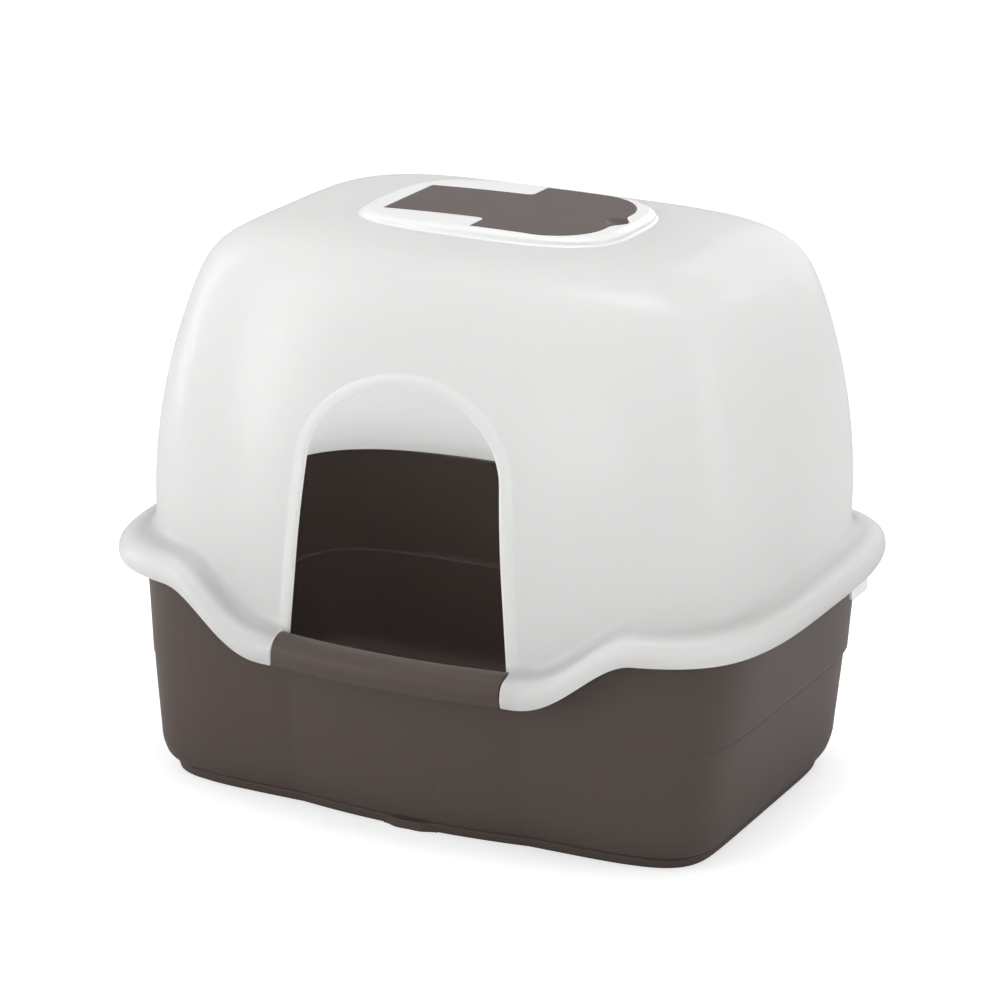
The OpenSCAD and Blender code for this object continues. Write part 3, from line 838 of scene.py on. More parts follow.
@dataclass
class HatchOutline:
    """Outline of the roof hatch: a narrow part with the hinge, a wide part with round corners,
    and a finger tab at its end."""

    neck_end: float = -0.0915
    neck_len: float = 0.0907
    neck_w: float = 0.087
    head_len: float = 0.0945
    head_w: float = 0.144
    fillet: float = 0.006
    corner_x: float = 0.042
    corner_y: float = 0.048
    tab_reach: float = 0.0086
    tab_half: float = 0.018
    soft: float = 0.0012
    tail_x: float = -0.0779

    @property
    def step_x(self) -> float:
        """Where the narrow part meets the wide one."""
        return self.neck_end + self.neck_len

    @property
    def head_end(self) -> float:
        """End of the wide part, without its tab."""
        return self.step_x + self.head_len

    def ring(self, g: float, reach: float = 1.0, tail: float | None = None) -> Array:
        """The whole outline grown by g, always with the same number of points.

        Args:
            g: How far it is grown, or drawn in if negative.
            reach: Share of the tab that it has.
            tail: Growth round the hinge end instead of g, if given.

        Returns:
            The plan points, counter-clockwise.
        """
        end = g if tail is None else tail
        soft = self.soft
        back, wide, narrow = self.step_x - g, self.head_w / 2 + g, self.neck_w / 2 + g
        hinge_y, tail_end = self.neck_w / 2 + end, self.neck_end - end
        round_in = max(self.fillet - g, 0.5 * MM)
        cy = self.head_w / 2 - self.corner_y
        out = self.head_end + g
        tab = self.tab_reach * reach
        ys = np.linspace(-cy, -self.tab_half - g, 8)[1:]
        half = np.vstack([
            np.column_stack([np.full(8, tail_end), np.linspace(0, -hinge_y + soft, 8)]),
            arc(tail_end + soft, -hinge_y + soft, soft, soft, 180, 270, 5)[1:],
            np.column_stack([np.linspace(tail_end + soft, self.tail_x, 7)[1:], np.full(6, -hinge_y)]),
            np.column_stack([np.linspace(self.tail_x, back - round_in, 28), np.full(28, -narrow)]),
            arc(back - round_in, -narrow - round_in, round_in, round_in, 90, 0, 8)[1:],
            np.column_stack([np.full(8, back), np.linspace(-narrow - round_in, -wide + soft, 9)[1:]]),
            arc(back + soft, -wide + soft, soft, soft, 180, 270, 5)[1:],
            np.column_stack([np.linspace(back + soft, self.head_end - self.corner_x, 24)[1:], np.full(23, -wide)]),
            arc(self.head_end - self.corner_x, -cy, self.corner_x + g, self.corner_y + g, -90, 0, 30)[1:],
            np.column_stack([np.full(7, out), ys]),
            self.tab_side(out, tab, g)])
        return np.vstack([half, half[:0:-1] * (1, -1)])

    def tab_side(self, out: float, tab: float, g: float) -> Array:
        """Half of the tab: a bell, whose reach is the square of a cosine across it."""
        t = np.linspace(-1, 0, 19)[1:]
        return np.column_stack([out + tab * np.cos(t * math.pi / 2) ** 2, t * (self.tab_half + g)])


class Hood:
    """The lift-off hood: shell, doorway bead, roof pad with its pocket, side tabs and filter."""

    rim_outside = [(21.3, 0), (22.3, 0.3), (23.3, 1.8), (24.6, 5), (25, 10), (23.6, 16), (20.1, 20),
                   (15, 21.8), (10.5, 23), (5, 25.6), (1.8, 29.6), (0.3, 34.5), (0, 40)]
    rim_inside = [(20.9, 0), (20.4, 0.4), (20.1, 1.8), (19.8, 6), (19.4, 11), (18.2, 14.5), (15, 15.6),
                  (10, 14), (5, 11.7), (0.5, 10.7), (-2.0, 12.4), (-2.5, 20), (-2.5, 40)]
    bead_outside = [(10.6, -0.6), (9.4, 0.0), (8.0, 0.25), (6.4, 0.6), (4.9, 1.05), (3.5, 1.55), (2.3, 1.95),
                    (1.2, 2.1), (0.3, 1.8), (-0.4, 1.05), (-0.6, 0.2)]
    bead_inside = [(-0.6, -0.9), (-0.4, -1.9), (0.3, -2.4), (2, -2.5), (5.0, -2.5), (5.8, -2.4),
                   (6.4, -2.0), (6.9, -1.5), (8.0, -1.2)]
    bead_cover = 3.5 * MM

    def __init__(self, plan: Plan, shop: Workshop, finishes: Finishes) -> None:
        """Keeps the plan, the workshop and the finishes, and sets the hood's own forms."""
        self.plan, self.shop, self.finishes = plan, shop, finishes
        self.form = HoodForm(plan)
        self.pad = PadForm(plan)
        self.outline = HatchOutline()
        self.at = Stations(plan, plan.rim_end)
        self.gap = 0.7 * MM
        self.recess = 3.0 * MM
        self.pocket_z = plan.roof_z + self.pad.raised - 20 * MM
        self.pocket_wall = 2 * MM

    def build(self) -> None:
        """Makes every piece of the hood."""
        white, thick = self.finishes.hood, self.finishes.hood_thick
        shop = self.shop
        shop.piece("hood_shell", self.shell(), Body.HOOD, Slot.HOOD, white, "hood")
        shop.piece("hood_doorway_bead", self.bead(), Body.HOOD, Slot.HOOD, white)
        shop.piece("hood_roof_pad", self.roof_pad(), Body.HOOD, Slot.HOOD, thick)
        shop.piece("hood_pocket_floor", self.pocket_floor(), Body.HOOD, Slot.HOOD, thick)
        shop.piece("hood_side_tabs", self.side_tabs(), Body.HOOD, Slot.HOOD, thick)
        felt = shop.piece("carbon_filter_pad", self.filter_pad(), Body.HOOD, Slot.FILTER,
                          self.finishes.felt, "carbon_filter")

    def shell(self) -> Surface:
        """The shell as a wall between two grids: rim, leaning wall, shoulder and roof. The rows
        of both grids go from the rim's lip up to the hole under the pad. Cells inside the
        doorway are left out, and what borders them is drawn onto a line under the bead."""
        outer = self.rows(curve_through(self.rim_outside, 2), 0.0)
        inner = self.rows(curve_through(self.rim_inside, 2), self.form.wall)
        keep = self.doorway_mask(outer)
        self.draw_to_bead(outer, inner, keep)
        return walled_sheet(outer, inner, keep)

    def rows(self, rim: Array, t: float) -> Array:
        """Grid of the shell's face drawn in by t, with the rim's profile at its foot."""
        form, at = self.form, self.at
        rings = [at.rim_ring(o, h) for o, h in rim]
        self.rim_rows = len(rings)
        rings += [form.wall_ring(s, t, at) for s in np.linspace(0, 1, 53)[1:]]
        self.wall_rows = len(rings)
        rings += [form.shoulder_ring(v, t, at) for v in np.linspace(0, 1, 23)[1:]]
        edge = rings[-1][:, :2]
        direction = edge / np.linalg.norm(edge, axis=1, keepdims=True)
        hole = direction * self.pad.reach(0.0, direction, -3 * MM)[:, None]
        for w in np.linspace(0, 1, 7)[1:]:
            p = edge + (hole - edge) * w
            rings.append(with_height(p, form.roof_height(p[:, 0], p[:, 1], t)))
        return np.stack(rings)

    def doorway_mask(self, outer: Array) -> Array:
        """Which cells of the shell are there: all but those between the rim's ends and under
        the sill's line, and those inside the door line widened by what the bead covers."""
        middle = (outer[:-1] + outer[1:]) / 2
        middle = (middle + np.roll(middle, -1, axis=1)) / 2
        x, z = middle[..., 0], middle[..., 2]
        in_front = np.zeros(x.shape, bool)
        in_front[:, self.at.first : self.at.last] = True
        low = z < self.plan.door.sill_z + 0.8 * MM
        inside = self.plan.door.distance(x, z) < self.bead_cover
        return ~(in_front & (low | inside))

    def draw_to_bead(self, outer: Array, inner: Array, keep: Array) -> None:
        """Moves the wall's vertices between kept and missing cells onto the line under the bead,
        along the direction away from the doorway, and back onto the wall's formula."""
        padded = np.vstack([keep[:1], keep, keep[-1:]])
        beside = np.roll(padded, 1, axis=1)
        around = np.stack([padded[:-1], padded[1:], beside[:-1], beside[1:]])
        border = around.any(axis=0) & ~around.all(axis=0)
        border[: self.rim_rows] = False
        border[self.wall_rows :] = False
        door = self.plan.door
        x, z = outer[border][:, 0], outer[border][:, 2]
        for _ in range(4):
            dx, dz = door.away(x, z)
            step = self.bead_cover - door.distance(x, z)
            x, z = x + dx * step, z + dz * step
        outer[border] = np.column_stack([x, self.form.front_y(x, z), z])
        inner[border] = np.column_stack([x, self.form.front_y(x, z, self.form.wall), z])

    def bead(self) -> Surface:
        """The bead: its section swept along the door line. A section point lies u away from the
        doorway in the wall and v in front of it. Its feet follow the sill's fall inwards."""
        line = self.plan.door.line(self.plan.door.sill_z - 0.3 * MM)
        along = np.gradient(line, axis=0)
        away = np.column_stack([along[:, 1], -along[:, 0]])
        away /= np.linalg.norm(away, axis=1, keepdims=True)
        section = np.vstack([curve_through(self.bead_outside, 3), curve_through(self.bead_inside, 2)])
        front = section[:, 1]
        drop = 0.43 * np.clip(3 * MM - front, 0, 3 * MM) + 0.85 * np.maximum(0, -front)
        near_foot = ease((line[0, 1] + 12 * MM - line[:, 1]) / (12 * MM))
        x = line[:, :1] + section[:, 0] * away[:, :1]
        z = line[:, 1:] + section[:, 0] * away[:, 1:] - drop * near_foot[:, None]
        return loft(list(np.stack([x, self.form.front_y(x, z) - front, z], axis=-1)))

    def roof_pad(self) -> Surface:
        """The pad as rings round the roof's middle: up its filleted edge, over its bevel to the
        hatch's opening, down the recess to its ledge, down the pocket's wall and back outside
        it. Each ring's points lie on the same rays from the middle."""
        pad, form, outline = self.pad, self.form, self.outline
        origin = np.array([pad.middle, 0.0])
        opening = outline.ring(self.gap + 0.35 * MM)
        ray = opening - origin
        near = np.linalg.norm(ray, axis=1)
        ray = ray / near[:, None]
        far = pad.reach(pad.middle, ray, 0.0)

        def on_pad(g: float) -> Array:
            """The pad's outline grown by g, on the same rays."""
            return origin + ray * (far + g)[:, None]

        outer_wall = outline.ring(self.gap - 3.7 * MM, 0.0, self.gap + self.pocket_wall)
        rings = [with_height(outer_wall, self.pocket_z - self.pocket_wall)]
        for p, under in ((outer_wall, 0.5 * MM), (on_pad(1.5 * MM), 1.2 * MM)):
            rings.append(with_height(p, form.roof_height(p[:, 0], p[:, 1]) - form.wall - under))
        for g, share in ((2.6, -0.06), (1.9, 0.03), (1.2, 0.12), (0.6, 0.28), (0.2, 0.52), (0.03, 0.8)):
            p = on_pad(g * MM)
            roof = form.roof_height(p[:, 0], p[:, 1])
            rings.append(with_height(p, roof + share * (pad.top(p[:, 0]) - 3.4 * MM - roof)))
        bevel = np.array([(0, 3.3), (0.25, 2.7), (0.8, 2.05), (1.8, 1.45), (3, 0.85), (4.2, 0.38),
                          (5.4, 0.1), (6.6, 0)]) * MM
        for inset, share in zip(bevel[:, 0], (0, 0.08, 0.2, 0.36, 0.52, 0.68, 0.82, 0.93)):
            drawn = np.minimum(inset, share * (far - near))
            p = origin + ray * (far - drawn)[:, None]
            rings.append(with_height(p, pad.top(p[:, 0]) - np.interp(drawn, bevel[:, 0], bevel[:, 1])))
        last = far - np.minimum(bevel[-1, 0], 0.93 * (far - near))
        for w in np.linspace(0, 1, 7)[1:]:
            reach = last + (near - last) * w
            p = origin + ray * reach[:, None]
            rings.append(with_height(p, self.pad_top_at(p, far - reach, bevel)))
        lip = np.interp(far - near, bevel[:, 0], bevel[:, 1])
        for g, down in ((0.12, 0.1), (0.0, 0.4)):
            p = outline.ring(self.gap + g * MM)
            rings.append(with_height(p, pad.top(p[:, 0]) - lip - down * MM))
        wide, narrow = outline.ring(self.gap), outline.ring(-5 * MM, 0.0, self.gap)
        for w in np.linspace(0, 1, 7):
            p = wide + (narrow - wide) * w
            rings.append(with_height(p, pad.top(p[:, 0]) - self.recess - self.dish_room(p)))
        for z in np.linspace(self.pocket_z + 10 * MM, self.pocket_z - self.pocket_wall, 4):
            rings.append(with_height(narrow, z))
        return loft(rings, ends=False)

    def pad_top_at(self, p: Array, inset: Array, bevel: Array) -> Array:
        """Height of the pad's top at points that lie inset from its outline."""
        return self.pad.top(p[:, 0]) - np.interp(inset, bevel[:, 0], bevel[:, 1])

    def dish_room(self, p: Array) -> Array:
        """Extra depth of the ledge under the finger dish: a soft-edged square."""
        x = np.abs(p[:, 0] - (self.outline.head_end + 1.5 * MM))
        room = ease((9.3 * MM - x) / MM) * ease((9.3 * MM - np.abs(p[:, 1])) / MM)
        return 2.4 * MM * room

    def pocket_floor(self) -> Surface:
        """Floor of the filter pocket with its slots: a grid of columns along X, each with three
        strips, where the middle strip is missing over a slot."""
        outline = self.outline
        edge = outline.ring(-4.6 * MM, 0.0, self.gap + 0.4 * MM)
        lower = edge[: len(edge) // 2 + 1]
        xs = np.linspace(lower[0, 0], lower[:, 0].max() - 0.2 * MM, 110)
        first, pitch, width, count, half = outline.step_x + 12 * MM, 13 * MM, 6 * MM, 6, 50 * MM
        breaks = np.concatenate([[first + k * pitch, first + k * pitch + width] for k in range(count)])
        xs = np.sort(np.concatenate([xs[np.abs(xs[:, None] - breaks).min(axis=1) > 0.3 * MM], breaks]))
        order = np.argsort(lower[:, 0], kind="stable")
        reach = -np.interp(xs, lower[order, 0], lower[order, 1])
        inner = np.minimum(half, reach * 0.96)
        ys = np.stack([-reach, -inner, inner, reach], axis=1)
        grid = np.stack([np.broadcast_to(xs[:, None], ys.shape), ys, np.full(ys.shape, self.pocket_z)], axis=-1)
        under = grid - (0, 0, self.pocket_wall)
        middle = (xs[:-1] + xs[1:]) / 2
        over_slot = (((middle - first) % pitch) < width) & (middle > first) & (middle < first + count * pitch)
        keep = np.ones((len(xs) - 1, 4), bool)
        keep[:, 1] = ~over_slot
        keep[:, 3] = False
        return walled_sheet(grid, under, keep)

    def side_tabs(self) -> Surface:
        """The two tabs that hang from the rim: rounded plates, one each side."""
        low, high, drop, corner = 45 * MM, 80 * MM, 11 * MM, 4 * MM
        outline = np.vstack([
            [[high, 0], [low, 0]],
            arc(low + corner, -drop + corner, corner, corner, 180, 270, 6),
            arc(high - corner, -drop + corner, corner, corner, 270, 360, 6)])
        outline = np.vstack([outline, [[high, -1 * MM]]])
        plate = slab(outline, -1.2 * MM, 1.2 * MM, 0.5 * MM)
        out = self.plan.half_width - 3.8 * MM
        z = self.plan.rim_z + 3 * MM
        right = Surface(plate.points[:, (2, 0, 1)] + (out, 0, z), plate.quads)
        left = Surface(right.points * (-1, 1, 1), plate.quads)
        return right.joined(left)

    def filter_pad(self) -> Surface:
        """The filter: the wide part's outline drawn in, as rings about its middle, with round
        edges and a faint pillow on top."""
        outline = self.outline.ring(-6 * MM, 0.0)
        outline[:, 0] = np.maximum(outline[:, 0], self.outline.step_x + 6 * MM)
        middle = np.array([47 * MM, 0.0])
        low, thick, edge = self.pocket_z + 0.3 * MM, 9 * MM, 2.2 * MM
        reach = np.linalg.norm(outline - middle, axis=1, keepdims=True)
        turns = np.radians(np.linspace(0, 90, 7))
        rings = [with_height(middle + (outline - middle) * f, low) for f in (0.3, 0.6, 0.85)]
        for t in turns:
            p = middle + (outline - middle) * (1 - edge * (1 - np.sin(t)) / reach)
            rings.append(with_height(p, low + edge * (1 - np.cos(t))))
        for t in turns:
            p = middle + (outline - middle) * (1 - edge * (1 - np.cos(t)) / reach)
            rings.append(with_height(p, low + thick - 0.5 * MM - edge * (1 - np.sin(t))))
        for f in np.linspace(0.95, 0.05, 14):
            pillow = 0.5 * MM * ease(np.array((1 - f) * 2.5))
            rings.append(with_height(middle + (outline - middle) * f, low + thick - 0.5 * MM + pillow))
        return loft(rings)


# ---- Hatch -------------------------------------------------------------------


class Hatch:
    """The hinged hatch: a crowned plate with a finger dish, a stiffening rib and hinge pegs."""

    thick = 2.5 * MM
    dish_r = 20 * MM
    dish_depth = 3 * MM
    dish_pad = 2.2 * MM
    dish_half = 7.6 * MM

    def __init__(self, hood: Hood) -> None:
        """Takes the outline and the crowned top from the hood that it closes."""
        self.hood, self.outline, self.pad = hood, hood.outline, hood.pad
        self.dish_x = self.outline.head_end + 1.5 * MM
        joint = next(j for j in frame["joints"] if j["name"] == "hatch_hinge")
        self.hinge_x, _, self.hinge_z = joint["pos_m"]

    def build(self) -> None:
        """Makes the hatch's pieces."""
        shop, finish = self.hood.shop, self.hood.finishes.hatch
        shop.piece("roof_hatch_plate", self.plate(), Body.HATCH, Slot.HATCH, finish, "roof_hatch")
        shop.piece("roof_hatch_rib", self.rib(), Body.HATCH, Slot.HATCH, finish)
        shop.piece("roof_hatch_pegs", self.pegs(), Body.HATCH, Slot.HATCH, finish)

    def upper(self, p: Array) -> Array:
        """Height of the top face: the crown less the finger dish, which is a cap of a sphere."""
        r = np.hypot(p[:, 0] - self.dish_x, p[:, 1])
        cap = self.dish_depth - self.dish_r + np.sqrt(np.maximum(self.dish_r**2 - r**2, 0))
        return self.pad.top(p[:, 0]) - np.maximum(cap, 0)

    def lower(self, p: Array) -> Array:
        """Height of the under face: one thickness down, and thickened under the dish."""
        x, y = np.abs(p[:, 0] - self.dish_x), np.abs(p[:, 1])
        bulge = ease((self.dish_half + 0.5 * MM - x) / MM) * ease((self.dish_half + 0.5 * MM - y) / MM)
        return self.pad.top(p[:, 0]) - self.thick - self.dish_pad * bulge

    def plate(self) -> Surface:
        """The plate as rings about its middle: in from the under face's middle to its edge,
        round the edge, and back to the top face's middle."""
        origin = np.array([self.pad.middle, 0.0])
        full = self.outline.ring(0.0)
        shares = np.linspace(0.02, 0.99, 64)
        rings = []
        for f in shares:
            p = origin + (self.outline.ring(-0.3 * MM) - origin) * f
            rings.append(with_height(p, self.lower(p)))
        for g, low, high in ((-0.25, 0.0, None), (0.0, 0.3, None), (0.0, None, 0.55), (-0.12, None, 0.2),
                             (-0.4, None, 0.04)):
            p = full if g == 0.0 else self.outline.ring(g * MM)
            z = self.lower(p) + low * MM if high is None else self.upper(p) - high * MM
            rings.append(with_height(p, z))
        for f in shares[::-1]:
            p = origin + (self.outline.ring(-0.6 * MM) - origin) * f
            rings.append(with_height(p, self.upper(p)))
        return loft(rings)

    def rib(self) -> Surface:
        """The rib under the wide part: a rectangle swept along the outline drawn in."""
        wall, depth, start = 1.6 * MM, 9 * MM, self.outline.step_x + 14 * MM
        outside = self.outline.ring(-6.2 * MM, 0.0)
        inside = self.outline.ring(-6.2 * MM - wall, 0.0)
        kept = outside[:, 0] > start
        kept &= inside[:, 0] > start - 1 * MM
        outside, inside = outside[kept], inside[kept]
        high = self.pad.top(outside[:, 0]) - self.thick / 2
        low = self.pad.plan.roof_z + self.pad.raised - depth
        corners = [with_height(outside, low), with_height(outside, high),
                   with_height(inside, high), with_height(inside, low)]
        return loft(list(np.stack(corners, axis=1)))

    def pegs(self) -> Surface:
        """The two hinge ears and their pegs: profiles of radius over distance, turned about
        the hinge's line."""
        inner = self.outline.neck_w / 2
        profile = [(-4, 2.2), (-3.7, 2.6), (-0.3, 2.6), (0, 2.3), (0.02, 1.5), (2.7, 1.5), (3, 1.2)]
        along, radius = (np.array(profile) * MM).T[:, :, None]
        turn = np.linspace(0, 2 * math.pi, 40, endpoint=False)
        grid = np.broadcast_arrays(self.hinge_x + radius * np.cos(turn), inner + along,
                                   self.hinge_z + radius * np.sin(turn))
        right = loft(list(np.stack(grid, axis=-1)))
        return right.joined(Surface(right.points * (1, -1, 1), right.quads))


# ---- Tray --------------------------------------------------------------------


class Tray:
    """The tray: a deep cup on a foot ring, its flange under the hood's rim, the sill and the toe."""

    wall = 3 * MM
    floor_z = 7.5 * MM
    corner_r = 20 * MM
    ledge_z = 103 * MM
    ledge_step = 2.2 * MM
    ledge = [(-3.2, 1.02), (-2.4, 1.2), (-1.6, 1.36), (-0.3, 1.4), (0, 1.36), (0.1, 0.2), (0.35, 0.06), (0.7, 0.0)]
    flange_h = 10 * MM
    flange_out = 18.7 * MM
    flange_edge = [(-2.2, -9), (-2.2, -8.7), (-2.0, -9), (-0.3, -9), (0, -8.7), (0, -1.4), (-0.4, -0.4), (-1.3, 0)]
    sill_h = 24 * MM
    base_low = [(4.5, 13.8), (0.4, 13.2), (0, 12.6), (0, 10.2), (0.25, 9.4), (0.9, 9)]
    base_step = [(6.9, 7.9), (7.4, 8.0), (7.8, 8.3), (8.1, 8.65), (8.5, 8.5), (8.9, 7.95)]
    base_curve = [(9.4, 7.2), (10.6, 5.6), (12.8, 3.9), (17, 2), (28, 0), (40, 0)]

    def __init__(self, plan: Plan, shop: Workshop, finishes: Finishes) -> None:
        """Keeps the plan, the workshop and the finishes."""
        self.plan, self.shop, self.finishes = plan, shop, finishes
        self.at = Stations(plan, plan.panel_half)

    def build(self) -> None:
        """Makes the tray's pieces."""
        shop, finish = self.shop, self.finishes.tray
        shop.piece("litter_tray_shell", self.shell(), Body.TRAY, Slot.TRAY, finish, "litter_tray")
        shop.piece("litter_tray_sill", self.sill(), Body.TRAY, Slot.TRAY, finish)
        shop.piece("litter_tray_toe", self.toe(), Body.TRAY, Slot.TRAY, finish)

    def sides(self, z: Array | float, t: float) -> tuple:
        """Half width, half depth and exponent of the wall at height z, drawn in by t: the walls
        slope evenly and the plan gets rounder towards the rim."""
        plan = self.plan
        return (plan.a + 1.5 * MM - 0.1 * (plan.rim_z - z) - t,
                plan.b - 1.8 * MM - 0.14 * (plan.rim_z - z) - t,
                8 + (5.2 - 8) * z / plan.rim_z)

    def ring(self, z: float, t: float, under: float = 1.0) -> Array:
        """Ring of the wall at height z. It stands in by a share, under, of the ledge's depth,
        which fades out towards the front."""
        at = self.at
        a, b, n = self.sides(z, t)
        p = at.ring(a, b, n, held=True)
        full_b = self.sides(z, 0.0)[1]
        step = under * self.ledge_step * ease((p[:, 1] + full_b - 0.01) / 0.07)
        q = at.ring(a - step, b - step, n, held=True)
        q[:, 1] -= at.bow(q)
        return with_height(q, z)

    def top_ring(self, h: float, t: float) -> Array:
        """Ring at the wall's top, h above the rim's lower edge: from each foot-line point along
        its normal to the wall at that height."""
        at, plan = self.at, self.plan
        z = plan.rim_z + h + at.drop
        a, b, n = self.sides(z, t)
        x, y = at.foot[:, 0], at.foot[:, 1]
        r = superellipse_radius(x, y, a, b, n)
        slope = np.column_stack([np.sign(x) * np.abs(x / a / r) ** (n - 1) / a,
                                 np.sign(y) * np.abs(y / b / r) ** (n - 1) / b])
        reach = (1 - r) / (slope * at.normal).sum(axis=1)
        p = at.foot + reach[:, None] * at.normal
        p[:, 1] -= at.bow(p)
        return with_height(p, z)

    def shell(self) -> Surface:
        """The cup as one stack of rings: under the floor, down and round the foot ring, up the
        outside to the flange, over it, and down the inside to the floor's middle."""
        low = self.ring(4.5 * MM, 13.8 * MM)
        rings = [low * (f, f, 1) for f in (0.1, 0.4, 0.7, 0.9)]
        profile = np.vstack([np.array(self.base_low) * MM, curve_through(self.base_step, 1),
                             curve_through(self.base_curve, 4)])
        rings += [self.ring(z, t) for z, t in profile]
        rings += [self.ring(z, 0.0) for z in np.linspace(40 * MM, self.ledge_z - 4 * MM, 13)[1:]]
        rings += [self.ring(self.ledge_z + h * MM, 0.0, under) for h, under in self.ledge]
        shelf = rings[-1]
        under = self.top_ring(self.flange_h - 3 * MM, 0.0)
        rings += between(shelf, under, 20) + [under]
        for o, h in self.flange_edge:
            rings.append(self.at.rim_ring(self.flange_out + o * MM, self.flange_h + h * MM, bowed=True))
        inner = self.top_ring(self.flange_h, self.wall)
        rings.append(self.top_ring(self.flange_h, self.wall - 0.8 * MM))
        inner_low = self.top_ring(self.flange_h - 0.8 * MM, self.wall)
        rings.append(inner_low)
        shelf_in = self.ring(self.ledge_z + 0.8 * MM, self.wall, 0.0)
        rings += between(inner_low, shelf_in, 18) + [shelf_in]
        rings.append(self.ring(self.ledge_z + 0.3 * MM, self.wall, 0.15))
        corner_z = self.floor_z + self.corner_r
        rings += [self.ring(z, self.wall) for z in np.linspace(self.ledge_z - 0.5 * MM, corner_z, 12)]
        for t in np.radians(np.linspace(0, 90, 9)[1:]):
            rings.append(self.ring(corner_z - self.corner_r * math.sin(t),
                                   self.wall + self.corner_r * (1 - math.cos(t))))
        floor = rings[-1]
        rings += [floor * (f, f, 1) for f in (0.9, 0.7, 0.4, 0.1)]
        return loft(rings)

    def sill(self) -> Surface:
        """The sill: its section swept across the doorway along the rim's bowed front."""
        out = self.plan.rim_out / MM
        well = -1.8 - 0.14 * (self.plan.rim_dip / MM - 8)
        h = self.sill_h / MM
        section = curve_through([
            (out - 4, 0.3), (out - 2, 4), (out - 1.5, 10), (out - 2.6, 15.5), (out - 6, 20), (out - 11, h - 1),
            (out - 16, h), (out - 22, h - 0.6), (-2.5, h - 4), (well - 2.2, 15), (well - 2.9, 8),
            (well - 3.1, 3.4), (well - 1.9, 2.8), (well - 0.7, 3.4), (well - 0.4, 8), (well + 0.8, 14),
            (-0.5, h - 6.4), (out - 22, h - 3.2), (out - 16, h - 2.6), (out - 11.5, h - 3.6), (out - 7.6, 18.2),
            (out - 5, 14.8), (out - 4.1, 10), (out - 4.6, 4.6), (out - 5.6, 0.9)], 3, closed=True)
        plan = self.plan
        half = plan.rim_end - 1.2 * MM
        x = np.linspace(half, -half, 81)[:, None]
        bow = plan.panel_bow * (1 - (x / plan.panel_half) ** 2)
        y = -plan.b * (1 - np.abs(x / plan.a) ** plan.square) ** (1 / plan.square) - bow
        z = plan.rim_z - plan.rim_dip + section[:, 1]
        grid = np.broadcast_arrays(x, y - section[:, 0], z)
        return loft(list(np.stack(grid, axis=-1)))

    def toe(self) -> Surface:
        """The toe under the middle of the front panel: a low trapezoid with soft corners."""
        front = -(self.sides(0.0, 0.0)[1] - 9 * MM + self.plan.panel_bow)
        half, reach = 24 * MM, 4.6 * MM
        t = np.linspace(-1, 1, 41)
        y = front - reach * ease((1 - np.abs(t)) / 0.6)
        outline = np.vstack([np.column_stack([t * half, y]), [[half, front + 3 * MM], [-half, front + 3 * MM]]])
        return slab(outline, 0.0, 7.6 * MM, 0.6 * MM)


# ---- Stage -------------------------------------------------------------------


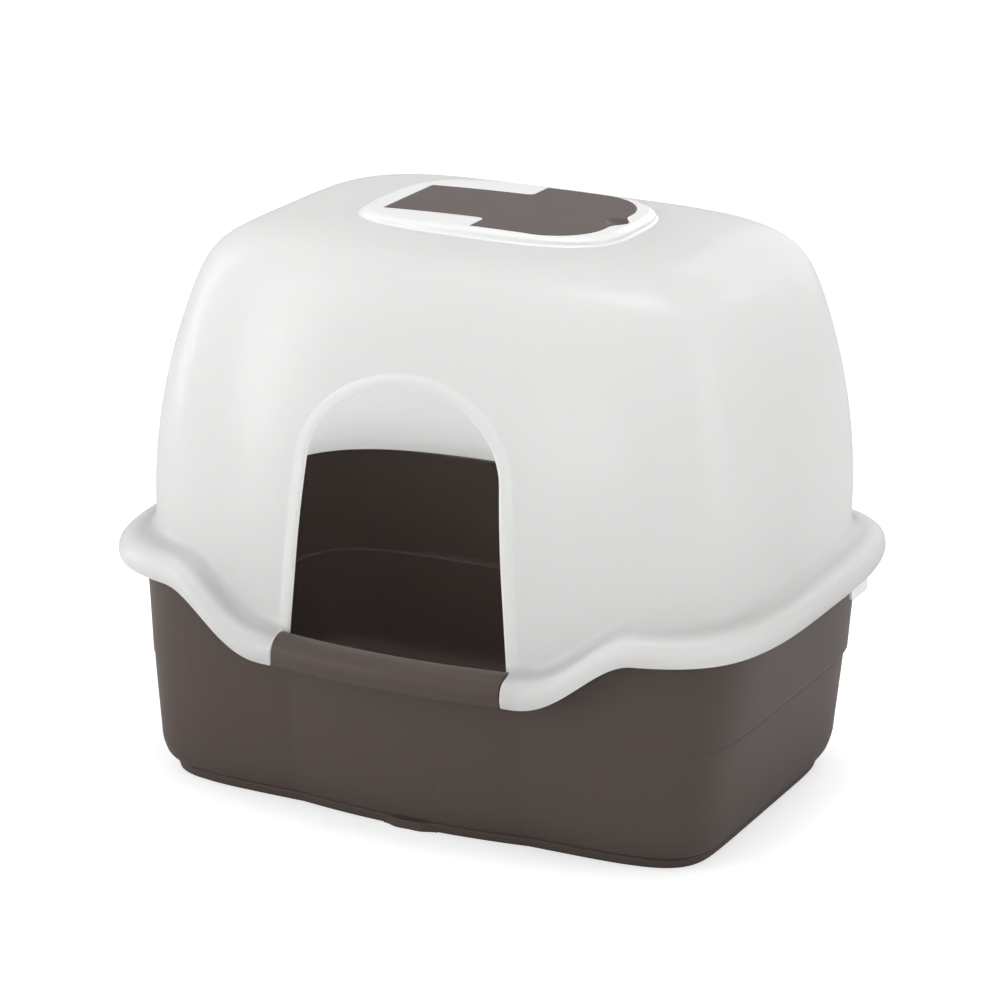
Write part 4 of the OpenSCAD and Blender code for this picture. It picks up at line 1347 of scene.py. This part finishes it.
@dataclass
class Studio:
    """Camera, pale floor and soft lamps."""

    azimuth: float = 25.55
    elevation: float = 17.8
    roll: float = 1.04
    distance: float = 3.47
    lens: float = 153.07
    target: Color = (-0.0048, 0.0035, 0.2275)
    aim: Color = (0.0, 0.0, 0.22)
    floor_half: float = 12.0
    floor_glow: float = 0.52
    world_light: float = 0.62

    def build(self) -> None:
        """Makes the camera, the floor, the lamps and the world."""
        self.camera()
        self.floor()
        self.lamp("key", (-1.9, -2.6, 1.1), (0.8, 2.0), 20.0)
        self.lamp("left", (-2.8, -0.3, 0.9), (1.0, 1.8), 18.0)
        self.lamp("right", (2.6, 0.2, 0.9), (1.4, 1.8), 15.0)
        self.lamp("top", (0.2, -0.1, 2.9), (1.8, 1.2), 29.0)
        self.lamp("back", (0.3, 2.8, 1.1), (2.0, 1.6), 12.0)
        self.lamp("front", (-0.3, -3.4, 0.75), (1.6, 0.9), 9.0)
        self.lamp("strip", (-0.66, -0.93, 0.34), (0.12, 0.66), 0.9)
        self.world()
        bpy.context.scene.view_settings.view_transform = "Standard"

    def camera(self) -> None:
        """Places the camera on its line of sight, turned by its roll about that line."""
        a, e, w = (math.radians(v) for v in (self.azimuth, self.elevation, self.roll))
        back = Vector((math.sin(a) * math.cos(e), -math.cos(a) * math.cos(e), math.sin(e)))
        right = Vector((math.cos(a), math.sin(a), 0.0))
        up = back.cross(right)
        turned = right * math.cos(w) + up * math.sin(w)
        upright = up * math.cos(w) - right * math.sin(w)
        data = bpy.data.cameras.new("camera")
        data.lens, data.sensor_width = self.lens, 36.0
        data.clip_start, data.clip_end = 0.1, 50.0
        view = bpy.data.objects.new("camera", data)
        axes = Matrix((turned, upright, back)).transposed().to_4x4()
        view.matrix_world = Matrix.Translation(Vector(self.target) + back * self.distance) @ axes
        bpy.context.scene.collection.objects.link(view)
        bpy.context.scene.camera = view

    def floor(self) -> None:
        """A wide pale floor. To the camera it also glows a little, so that it reads as white away
        from the object and still takes its shadow."""
        mesh = bpy.data.meshes.new("floor")
        corners = [(x * self.floor_half, y * self.floor_half, 0) for x, y in ((-1, -1), (1, -1), (1, 1), (-1, 1))]
        mesh.from_pydata(corners, [], [(0, 1, 2, 3)])
        item = bpy.data.objects.new("floor", mesh)
        bpy.context.scene.collection.objects.link(item)
        material, n, shader = started_material("pale_floor")
        shader.inputs["Base Color"].default_value = (0.8, 0.8, 0.8, 1.0)
        shader.inputs["Roughness"].default_value = 0.9
        shader.inputs["Specular IOR Level"].default_value = 0.1
        seen = n.add("LightPath").outputs["Is Camera Ray"]
        shader.inputs["Emission Color"].default_value = (1.0, 1.0, 1.0, 1.0)
        n.tree.links.new(n.math("MULTIPLY", seen, self.floor_glow), shader.inputs["Emission Strength"])
        mesh.materials.append(material)

    def lamp(self, name: str, place: Color, size: tuple[float, float], power: float) -> None:
        """A soft box that faces the object and that the camera doesn't see.

        Args:
            name: Name of the lamp.
            place: Where it stands.
            size: Its width and height.
            power: Its power in watts.
        """
        data = bpy.data.lights.new(name, "AREA")
        data.shape, data.size, data.size_y, data.energy = "RECTANGLE", *size, power
        item = bpy.data.objects.new(name, data)
        item.location = place
        item.rotation_euler = (Vector(self.aim) - Vector(place)).to_track_quat("-Z", "Y").to_euler()
        item.visible_camera = False
        bpy.context.scene.collection.objects.link(item)

    def world(self) -> None:
        """An even pale world, and plain white where the camera looks past everything."""
        world = bpy.data.worlds.new("studio")
        world.use_nodes = True
        world.node_tree.nodes.clear()
        n = Nodes(world.node_tree)
        path = n.add("LightPath")
        seen = n.math("MAXIMUM", path.outputs["Is Camera Ray"], path.outputs["Is Transmission Ray"])
        strength = n.math("MAXIMUM", seen, self.world_light)
        back = n.add("Background", {"Color": (1.0, 1.0, 1.0, 1.0), "Strength": strength})
        n.add("OutputWorld", {"Surface": back.outputs[0]})
        bpy.context.scene.world = world


def main() -> None:
    """Builds the pieces, the finishes and the stage."""
    logging.basicConfig(level=logging.INFO, format="%(name)s: %(message)s")
    plan = Plan.from_frame()
    finishes = Finishes.build()
    shop = Workshop(plan)
    hood = Hood(plan, shop, finishes)
    Tray(plan, shop, finishes).build()
    hood.build()
    Hatch(hood).build()
    Studio().build()


if __name__ == "__main__":
    main()
